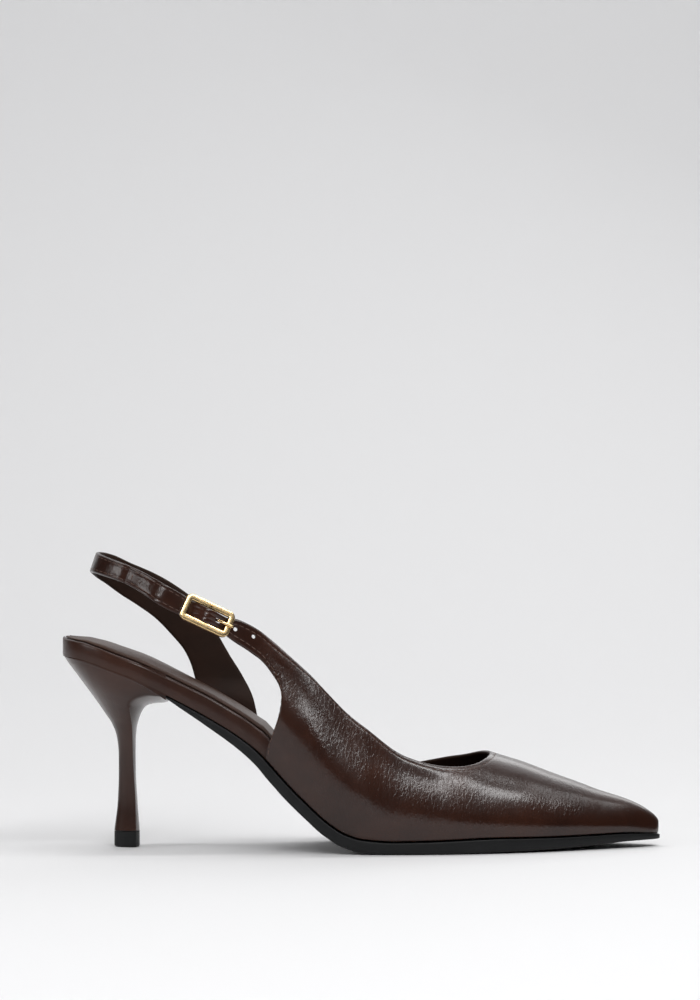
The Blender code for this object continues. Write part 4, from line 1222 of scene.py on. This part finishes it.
lower_edge, higher_edge, nose_column = upper_edges()
height = np.linalg.norm(higher_edge - lower_edge, axis=1)
column_index = np.arange(len(lower_edge))
crowd = 1 + np.exp(-(((column_index - nose_column) / NOSE_SPREAD) ** 2))
low_part = EDGE_STEPS[None, :5] / height[:, None]
high_part = 1 - EDGE_STEPS[None, ::-1] / height[:, None]
inside = np.linspace(0, 1, INNER_ROWS + 2)[None, 1:-1] ** crowd[:, None]
inside = low_part[:, -1:] + (high_part[:, :1] - low_part[:, -1:]) * inside
row_share = np.concatenate([low_part, inside, high_part], axis=1)
upper_flat = lower_edge[:, None] * (1 - row_share[..., None]) + higher_edge[:, None] * row_share[..., None]
upper_outer = pattern_points(upper_flat)
print("upper grid:", upper_outer.shape)

# %% [markdown]
# The strap's end rises over the buckle's middle bar and lies down again under the frame's two ends. Leather
# bent over a last is never quite smooth: a few shallow troughs and swells give the side its soft folds, and
# the thread draws a fine groove along the stitched edges.

# %% Strap's rise and the leather's soft folds


def lifted(points, ways):
    """Points of the strap's end raised over the middle bar; the others stay."""
    on_strap = points[..., 2] > feather(points[..., 0]) + 0.3 * INSTEP_HEIGHT
    rise = strap_lift((points - middle) @ forward) * on_strap * (points[..., 1] < 0)
    return points + ways * rise[..., None]


upper_outer = lifted(upper_outer, outward(upper_outer))

# start and end (station, girth), half width in mm, depth in mm; a negative depth is a swell
FOLDS = (
    ((0.365, 0.330), (0.445, 0.335), 5.0, 0.45),
    ((0.375, 0.195), (0.500, 0.210), 6.5, -0.45),
    ((0.530, 0.36), (0.600, 0.37), 5.0, 0.15),
    ((0.560, 0.22), (0.640, 0.20), 5.0, -0.15),
    ((0.640, 0.30), (0.700, 0.32), 5.0, 0.12),
    ((0.485, 0.365), (0.620, 0.365), 4.5, 0.35),
)


def fold_depth(flat):
    """How far the folds push the leather in, over the flat pattern of the lateral side."""
    depth = np.zeros(flat.shape[:-1])
    for (x0, g0), (x1, g1), width, deep in FOLDS:
        ends = []
        for station, girth in ((x0, g0), (x1, g1)):
            x = np.array([station * SHOE_LENGTH])
            ends.append(flat_pattern(x, np.array([girth]), LATERAL)[0])
        start, end = ends
        way = end - start
        t = np.clip(((flat - start) @ way) / (way @ way), 0, 1)
        gap = np.linalg.norm(flat - start - t[..., None] * way, axis=-1) / (width * MM)
        depth += deep * MM * np.exp(-gap * gap)
    return depth


def groove_depth(gap, inset, depth, breadth):
    """A groove's depth at a distance from the edge; it is deepest where gap equals inset."""
    return depth * np.exp(-(((gap - inset) / breadth) ** 2))


# the cut-out's lower edge ends at column CUT_END, and beyond it the lower edge is the feather line
STITCH_INSET = 2.1 * MM
GROOVE = 0.10 * MM
CALM_EDGE = 6 * MM
CUT_END = 98
edge_gap_high = (1 - row_share) * height[:, None]
edge_gap_low = row_share * height[:, None]
calm = np.clip(edge_gap_high / CALM_EDGE, 0, 1) * np.clip(edge_gap_low / CALM_EDGE, 0, 1)
groove = groove_depth(edge_gap_high, STITCH_INSET, GROOVE, 0.22 * MM)
has_cut_edge = column_index[:, None] < CUT_END
groove = groove + has_cut_edge * groove_depth(edge_gap_low, STITCH_INSET, GROOVE, 0.35 * MM)


def skin_ways(flat):
    """Directions square to the last's surface at points of the flat pattern."""
    step = 0.3 * MM
    ways = []
    for way in ((step, 0), (0, step)):
        ways.append(pattern_points(flat + way) - pattern_points(flat - way))
    return unit(np.cross(*ways))


# round the cut-out the grid bends sharply, so the directions there come from the last itself
near_strap = slice(0, 112)
upper_way = outward(upper_outer)
last_way = skin_ways(upper_flat[near_strap])
last_way = last_way * np.sign((last_way * upper_way[near_strap]).sum())
upper_way[near_strap] = last_way
upper_shaped = upper_outer - upper_way * (fold_depth(upper_flat) * calm + groove)[..., None]
print("folds:", len(FOLDS), "deepest push, mm:", round(float(fold_depth(upper_flat).max()) / MM, 2))

# %% Upper's wall with its rounded edges
FAR = 1.0


def edge_round(gap, half):
    """The share of the half wall left at a distance from the edge: a half circle seen from its side."""
    return np.sqrt(np.clip(1 - (1 - np.clip(gap / half, 0, 1)) ** 2, 0, 1))


start_gap = np.full(len(column_index), FAR)
start_gap[:CAP] = EDGE_STEPS[:CAP]
side_gap = np.minimum(start_gap, start_gap[::-1])[:, None]
edge_gap = np.minimum(np.minimum(edge_gap_high, edge_gap_low), side_gap)
fullness = edge_round(edge_gap, UPPER_WALL / 2)
middle_skin = upper_outer - upper_way * UPPER_WALL / 2
outer_skin = middle_skin + (upper_shaped - middle_skin) * fullness[..., None]
inner_skin = middle_skin - upper_way * (UPPER_WALL / 2 * fullness)[..., None]
upper_points, outer_faces, inner_faces = two_faces(outer_skin, inner_skin)
upper_piece = make_piece(
    "upper_leather",
    upper_points,
    outer_faces + inner_faces,
    [upper_calf, lining_kid],
    "upper_leather",
    ["upper"],
    [0] * len(outer_faces) + [1] * len(inner_faces),
    angle=80,
)

# %% [markdown]
# ### Holes
# Punches cut the prong's slot and the free holes clean through the strap's end with a Boolean, after which
# the tools are deleted.

# %% Punches


def punch_tool(place, along_way, across_way, length, width):
    """A round-ended cutter square to the strap."""
    reach = 3 * UPPER_WALL * np.cross(along_way, across_way)
    spin = np.arange(24) * math.pi / 12
    straight = np.sign(np.cos(spin)) * (length - width) / 2 * (np.abs(np.cos(spin)) > 1e-6)
    along = (width / 2 * np.cos(spin) + straight)[:, None] * along_way
    ring = along + (width / 2 * np.sin(spin))[:, None] * across_way
    points = np.concatenate([place + ring - reach, place + ring + reach])
    faces = grid_faces(2, 24, 0, True) + [tuple(range(24)), tuple(range(24, 48))]
    return put("punch", new_mesh("punch", points, faces, weld=0))


def punch_through(piece, places):
    """Cuts each place's hole out of the piece and deletes the tools."""
    for place in places:
        tool = punch_tool(*place)
        cut = piece.modifiers.new("punch", "BOOLEAN")
        cut.operation = "DIFFERENCE"
        cut.solver = "EXACT"
        cut.object = tool
        bpy.context.view_layer.objects.active = piece
        bpy.ops.object.modifier_apply(modifier=cut.name)
        bpy.data.objects.remove(tool)
    piece.data.set_sharp_from_angle(angle=math.radians(50))


hole_places = [(frame_point(PRONG_PLACE, 0, 0), forward, up, 0.65 * PRONG_HOLE, HOLE_WIDTH)]
for k in (1, 2):
    hole_x = BUCKLE_PLACE + (PRONG_PLACE + k * HOLE_STEP) * forward[0]
    top_line, low_line = strap_edges([hole_x - GAP, hole_x, hole_x + GAP], STRAP_WIDTH)
    run_way = unit((top_line + low_line)[2] - (top_line + low_line)[0])
    rise_way = top_line[1] - low_line[1]
    rise_way = unit(rise_way - run_way * (rise_way @ run_way))
    hole_places.append(((top_line + low_line)[1] / 2, run_way, rise_way, HOLE_WIDTH, HOLE_WIDTH))
punch_through(upper_piece, hole_places)
print("upper after the punches:", len(upper_piece.data.polygons), "faces")

# %% [markdown]
# ### Stitches
# A waxed thread runs 2 mm inside the topline and the cut-out's edge, about 9 stitches to 25 mm. Each stitch
# is a short capsule, half sunk in the groove that the thread pulls into the leather.

# %% Stitches
STITCH_STEP = 2.7 * MM
STITCH_LENGTH = 2.1 * MM
THREAD_RADIUS = 0.17 * MM


def capsule(rings=7, sides=6):
    """Points and faces of a slim capsule along x, of length 1 and radius 1 across."""
    turn = np.linspace(0, math.pi, rings)
    x = -0.5 * np.cos(turn)
    radius = np.sin(turn) ** 0.6
    spin = np.arange(sides) * 2 * math.pi / sides
    points = np.stack(
        [
            np.repeat(x, sides),
            np.outer(radius, np.cos(spin)).ravel(),
            np.outer(radius, np.sin(spin)).ravel(),
        ],
        axis=-1,
    )
    return points, grid_faces(rings, sides, 0, True)


def stitch_run(path, way_out):
    """Capsules at even steps along a path, each lying in the surface whose directions are way_out."""
    length = distances(path)
    count = int(length[-1] / STITCH_STEP)
    starts = (np.arange(count) + 0.5) * length[-1] / count
    base, faces = capsule()
    points, all_faces = [], []
    for k, at in enumerate(starts):
        ends = [
            np.array([np.interp(at + d, length, column) for column in path.T])
            for d in (-STITCH_LENGTH / 2, STITCH_LENGTH / 2)
        ]
        normal = unit(np.array([np.interp(at, length, column) for column in way_out.T]))
        ahead = unit(ends[1] - ends[0])
        across = np.cross(normal, ahead)
        spot = (ends[0] + ends[1]) / 2
        shape = (
            base[:, :1] * STITCH_LENGTH * ahead
            + base[:, 1:2] * THREAD_RADIUS * across
            + base[:, 2:] * THREAD_RADIUS * np.cross(ahead, across)
        )
        points.append(spot + shape)
        all_faces += [tuple(k * len(base) + np.array(f)) for f in faces]
    return np.concatenate(points), all_faces


def joined(runs):
    """Several sets of points and faces as one."""
    points, faces, first = [], [], 0
    for some_points, some_faces in runs:
        points.append(some_points)
        faces += [tuple(first + np.array(f)) for f in some_faces]
        first += len(some_points)
    return np.concatenate(points), faces


# every column has the same rows next to the topline, so one column shows which row carries the stitches
SOME_COLUMN = 60
top_row = int(np.argmin(np.abs(edge_gap_high[SOME_COLUMN] - STITCH_INSET)))
topline = slice(14, len(column_index) - CAP)
top_path = outer_skin[topline, top_row]
cut_columns = slice(30, 101)
cut_share = (STITCH_INSET / height)[:, None]
cut_way = upper_way[:, 4]
cut_path = lifted(pattern_points(lower_edge * (1 - cut_share) + higher_edge * cut_share), cut_way)
upper_stitches = joined(
    [
        stitch_run(top_path, upper_way[topline, top_row]),
        stitch_run(cut_path[cut_columns], cut_way[cut_columns]),
    ]
)
make_piece("upper_stitches", *upper_stitches, [thread], "upper_leather")

# %% [markdown]
# ## The sling
# The strap starts as a thin tab folded round the buckle's middle bar, is joined to the sling at a seam, runs
# round the back of the heel and widens to a base on the far side. It is drawn as one band: a row of points
# across it at each step of its length, with both edges closed in a half circle like the upper's.

# %% Sling's band
edges = sling_edges()
run_length = sling_length(*edges)
seam = float(np.interp(-TAB_SEAM, -(edges[0] + edges[1])[:8, 0] / 2, run_length[:8]))
near_edge = np.array([0, 0.06, 0.22, 0.45, 0.8, 1.15, 1.4, 1.65, 2.1, 2.9]) * MM / STRAP_WIDTH
ACROSS = np.concatenate([near_edge, [0.5], 1 - near_edge[::-1]])
end_steps = EDGE_STEPS[:5]
outer_run = np.concatenate([seam - end_steps, np.linspace(seam - 1.3 * MM, 0, 34)])
inner_run = np.linspace(0, seam, 30)
sling_run = np.linspace(seam + GAP, run_length[-1] - 1.3 * MM, 170)
sling_run = np.concatenate([sling_run, run_length[-1] - end_steps[::-1]])
tab_outer = strap_points(edges, outer_run, tab_levels(outer_run)[0], ACROSS)
tab_inner = strap_points(edges, inner_run, tab_levels(inner_run)[1], ACROSS)
turn = np.linspace(math.pi / 2, -math.pi / 2, 15)[1:-1, None, None]
fold_radius = BAR_WIRE / 2 + GAP + TAB_WALL / 2
start = strap_points(edges, np.zeros(1), np.array([bar_level()]), ACROSS)
fold = start + fold_radius * (np.cos(turn) * forward + np.sin(turn) * out)
join = ramp(sling_run, seam + 2 * GAP, seam + STRAP_WIDTH / 2)
foot = ramp(sling_run, 0.8 * run_length[-1], 0.94 * run_length[-1])
level = -TAB_WALL / 2 * (1 - foot) - BACK_STRAP_WALL / 2
level = tab_levels(seam)[1] * (1 - join) + level * join
sling_band = strap_points(edges, sling_run, level, ACROSS)
band = np.concatenate([tab_outer, fold, tab_inner, sling_band])
thick = np.full(len(band), TAB_WALL)
thick[-len(join):] += (BACK_STRAP_WALL - TAB_WALL) * join

SLING_INSET = 1.4 * MM
band_way = -normals(band)
across_gap = np.linalg.norm(band[:, -1] - band[:, 0], axis=1)[:, None] * np.minimum(ACROSS, 1 - ACROSS)
end_gap = np.full(len(band), FAR)
end_gap[:5] = end_steps
end_gap[-5:] = end_steps[::-1]
band_gap = np.minimum(across_gap, end_gap[:, None])
half_thick = thick[:, None] / 2
half_wall = half_thick * edge_round(band_gap, half_thick)
stitch_dip = groove_depth(across_gap, SLING_INSET, 0.12 * MM, 0.25 * MM)
on_tab = (np.arange(len(band)) < len(tab_outer))[:, None]
on_sling = (np.arange(len(band)) >= len(band) - len(join))[:, None]
first_face = band + band_way * (half_wall - stitch_dip * on_tab)[..., None]
second_face = band - band_way * (half_wall - stitch_dip * on_sling)[..., None]
band_points, front_faces, rear_faces = two_faces(first_face, second_face)
lining_from = (len(band) - len(join)) * (len(ACROSS) - 1)
band_slots = [int(k >= lining_from) for k in range(len(front_faces))] + [0] * len(rear_faces)
make_piece(
    "sling_leather",
    band_points,
    front_faces + rear_faces,
    [upper_calf, lining_kid],
    "upper_leather",
    ["back_strap"],
    band_slots,
    angle=80,
)

# %% Sling's stitches
# along both edges, on the tab's outer face and then on the sling's, and once across the seam
on_tab = slice(6, len(tab_outer) - 6)
on_sling = slice(2 - len(join), -6)
seam_row, seam_columns = 6, slice(7, -7)
runs = []
for share in (SLING_INSET / STRAP_WIDTH, 1 - SLING_INSET / STRAP_WIDTH):
    column = int(np.argmin(np.abs(ACROSS - share)))
    runs.append(stitch_run(first_face[on_tab, column], band_way[on_tab, column]))
    runs.append(stitch_run(second_face[on_sling, column], -band_way[on_sling, column]))
runs.append(stitch_run(first_face[seam_row, seam_columns], band_way[seam_row, seam_columns]))
make_piece("sling_stitches", *joined(runs), [thread], "upper_leather")

# %% [markdown]
# ## The buckle
# Cast frame with flattened faces and softly broken edges, plated gold. The middle bar lies lower, so that the
# strap's end can pass over it; the prong comes up through the slot and rests on the front bar. The frame
# leans a little, top edge towards the foot, so that its face catches the light.

# %% Buckle
SOFT_SQUARE = 4.5


def wire(path, width, depth, closed, sides=20, square=2.0, face_way=out):
    """Points and faces of a bar along a path: width lies across face_way, depth stands along it."""
    path = np.asarray(path, float)
    if closed:
        ahead = unit(np.roll(path, -1, axis=0) - np.roll(path, 1, axis=0))
    else:
        ahead = unit(np.gradient(path, axis=0))
    spin = np.arange(sides) * 2 * math.pi / sides
    flat = np.sign(np.cos(spin)) * np.abs(np.cos(spin)) ** (2 / square)
    tall = np.sign(np.sin(spin)) * np.abs(np.sin(spin)) ** (2 / square)
    rings = []
    widths, depths = np.broadcast_to(width, len(path)), np.broadcast_to(depth, len(path))
    for point, way, w, d in zip(path, ahead, widths, depths):
        side_way = unit(np.cross(way, face_way))
        up_way = np.cross(side_way, way)
        rings.append(point + flat[:, None] * w / 2 * side_way + tall[:, None] * d / 2 * up_way)
    count = len(path)
    faces = grid_faces(count, sides, 0, True)
    if closed:
        last = (count - 1) * sides
        faces += [(last + j, last + (j + 1) % sides, (j + 1) % sides, j) for j in range(sides)]
    else:
        faces += [tuple(range(sides)), tuple(range((count - 1) * sides, count * sides))]
    return np.concatenate(rings), faces


BAR_BREADTH = 2.6 * MM
FRAME_LEAN = math.radians(12)
FRAME_SHIFT = 0.25 * MM
half_length = BUCKLE_LENGTH / 2 - FRAME_WIRE / 2
half_width = BUCKLE_WIDTH / 2 - FRAME_WIRE / 2
ring_length = (BUCKLE_LENGTH - BAR_BREADTH) / 2
ring_width = (BUCKLE_WIDTH - BAR_BREADTH) / 2
corner = 1.5 * MM
ring_path = []
for quarter, (sx, sy) in enumerate(((1, 1), (-1, 1), (-1, -1), (1, -1))):
    for angle in np.linspace(0, math.pi / 2, 9) + quarter * math.pi / 2:
        ring_path.append(
            frame_point(
                sx * (ring_length - corner) + corner * math.cos(angle),
                sy * (ring_width - corner) + corner * math.sin(angle),
                0,
            )
        )
ring_path = np.array(ring_path) - middle
ring_up = ring_path @ up
ring_path = middle + ring_path + np.outer(ring_up * (math.cos(FRAME_LEAN) - 1), up)
ring_path = ring_path + np.outer(FRAME_SHIFT - ring_up * math.sin(FRAME_LEAN), out)
leaned_out = out * math.cos(FRAME_LEAN) + up * math.sin(FRAME_LEAN)
print("buckle's face looks along", leaned_out.round(2), "strap's own", out.round(2))
frame_bar = wire(ring_path, BAR_BREADTH, FRAME_WIRE * 0.9, True, 28, SOFT_SQUARE, leaned_out)
bar_across = half_width * np.linspace(1, -1, 41)
bar_sink = -BAR_DROP * ramp(half_width - np.abs(bar_across), 0, 0.27 * half_width)
bar_path = [frame_point(0, a, d) for a, d in zip(bar_across, bar_sink)]
middle_bar = wire(bar_path, BAR_WIRE, BAR_WIRE, False, 16, 2.4)
make_piece("buckle_bars", *joined([frame_bar, middle_bar]), [gold], "gold_metal", ["buckle_frame"])

# %% Prong
fold_edge = BAR_WIRE / 2 + 2 * GAP + TAB_WALL
over = FRAME_WIRE / 2 + GAP + PRONG_WIRE / 2
prong_knots = np.array([0, 0.10, 0.22, 0.36, 0.56, 0.80, 0.94, 1.0])
prong_rise = np.array([0, 0.10, 0.47, 0.80, 0.97, 1.02, 1.01, 0.97])
prong_at = np.concatenate([np.linspace(0, 0.97, 40), [0.985, 0.995, 1.0]])
prong_along = fold_edge + (half_length * 1.16 - fold_edge) * prong_at
prong_out = -BAR_DROP + (over + BAR_DROP) * curve(prong_knots, prong_rise, prong_at)
prong_taper = [0, 0.56, 0.97, 0.985, 0.995, 1], [1, 1, 0.86, 0.76, 0.55, 0.2]
prong_size = PRONG_WIRE * np.interp(prong_at, *prong_taper)
prong_path = [frame_point(a, 0, o) for a, o in zip(prong_along, prong_out)]
prong = wire(prong_path, prong_size * 1.15, prong_size, False, 16)
make_piece("prong", *prong, [gold], "gold_metal", ["buckle_prong"])

# %% [markdown]
# ## Stage and light
# The shoe stands on a seamless pale sheet that curves up behind it. Six lamps light it. Two washes from above
# keep the sheet pale and even. A box on the left fills the heel and the side. A long narrow strip in front
# draws the highlight along quarter and vamp. A glow from behind lights the vamp's upper edge, and a thin weak
# strip high beyond the toe adds a fainter gloss.

# %% Stage
BEND_START, BEND_RADIUS = 1.2, 0.6
stage_profile = [(-1.6, 0.0)]
for turn in np.linspace(0, math.pi / 2, 16):
    bend_y = BEND_START + BEND_RADIUS * math.sin(turn)
    stage_profile.append((bend_y, BEND_RADIUS - BEND_RADIUS * math.cos(turn)))
stage_profile.append((BEND_START + BEND_RADIUS, 3.0))
stage_points = [(x, y, z) for x in (-3.0, 3.0) for y, z in stage_profile]
n = len(stage_profile)
stage_mesh = bpy.data.meshes.new("stage")
stage_mesh.from_pydata(stage_points, [], [(j, n + j, n + j + 1, j + 1) for j in range(n - 1)])
stage_mesh.shade_smooth()
stage = put("stage", stage_mesh)
paper, _, paper_shader = new_finish("white paper", Roughness=0.7)
paper_shader.inputs["Base Color"].default_value = linear("#e6e6e7")
stage_mesh.materials.append(paper)
print("stage:", n, "lines from the front edge to the top")

# %% Lights and camera


def soft_box(name, place, target, size, power, long_side=(1, 0, 0)):
    """A rectangular light turned towards a point, its long side along a given direction."""
    lamp = bpy.data.lights.new(name, "AREA")
    lamp.shape = "RECTANGLE"
    lamp.size, lamp.size_y = size
    lamp.energy = power
    holder = put(name, lamp)
    holder.location = place
    aim = (Vector(target) - Vector(place)).normalized()
    long_way = Vector(long_side) - aim * aim.dot(Vector(long_side))
    long_way.normalize()
    holder.rotation_euler = Matrix((long_way, long_way.cross(aim), -aim)).transposed().to_euler()
    print(name, "at", tuple(round(c, 2) for c in place), "power", power)


scene = bpy.context.scene
scene.view_settings.view_transform = "Standard"
world = bpy.data.worlds.new("studio")
scene.world = world
world.use_nodes = True
world.node_tree.nodes["Background"].inputs["Color"].default_value = linear("#ffffff")
world.node_tree.nodes["Background"].inputs["Strength"].default_value = 0.03
soft_box("top wash", (-0.55, 1.35, 2.2), (-0.55, 1.35, 0.0), (2.8, 2.6), 17)
soft_box("backdrop wash", (0.0, 0.5, 2.4), (0.0, 1.8, 1.0), (2.4, 0.5), 29)
soft_box("left", (-1.10, -0.55, 0.55), (-0.08, 0.0, 0.06), (0.5, 0.5), 3.5)
strip_start, strip_end = Vector((-0.21, -1.19, 0.63)), Vector((0.80, -0.07, 1.09))
strip_way = strip_end - strip_start
strip_middle = (strip_start + strip_end) / 2
soft_box("strip", strip_middle, (0.03, 0.0, 0.05), (strip_way.length, 0.15), 9.8, strip_way)
soft_box("back glow", (0.48, 1.5, 0.86), (0.05, 0.0, 0.03), (0.9, 0.4), 1.9)
soft_box("side strip", (0.83, 0.28, 1.14), (0.06, 0.0, 0.03), (0.62, 0.12), 0.8, (0.02, 1, 0.12))

camera = bpy.data.cameras.new("camera")
camera.lens = 131.7
camera.sensor_width = 36
camera_holder = put("camera", camera)
camera_holder.location = (-0.0048, CENTRE_Y - 1.5, 0.142)
camera_holder.rotation_euler = (math.radians(90), 0, 0)
bpy.context.scene.camera = camera_holder
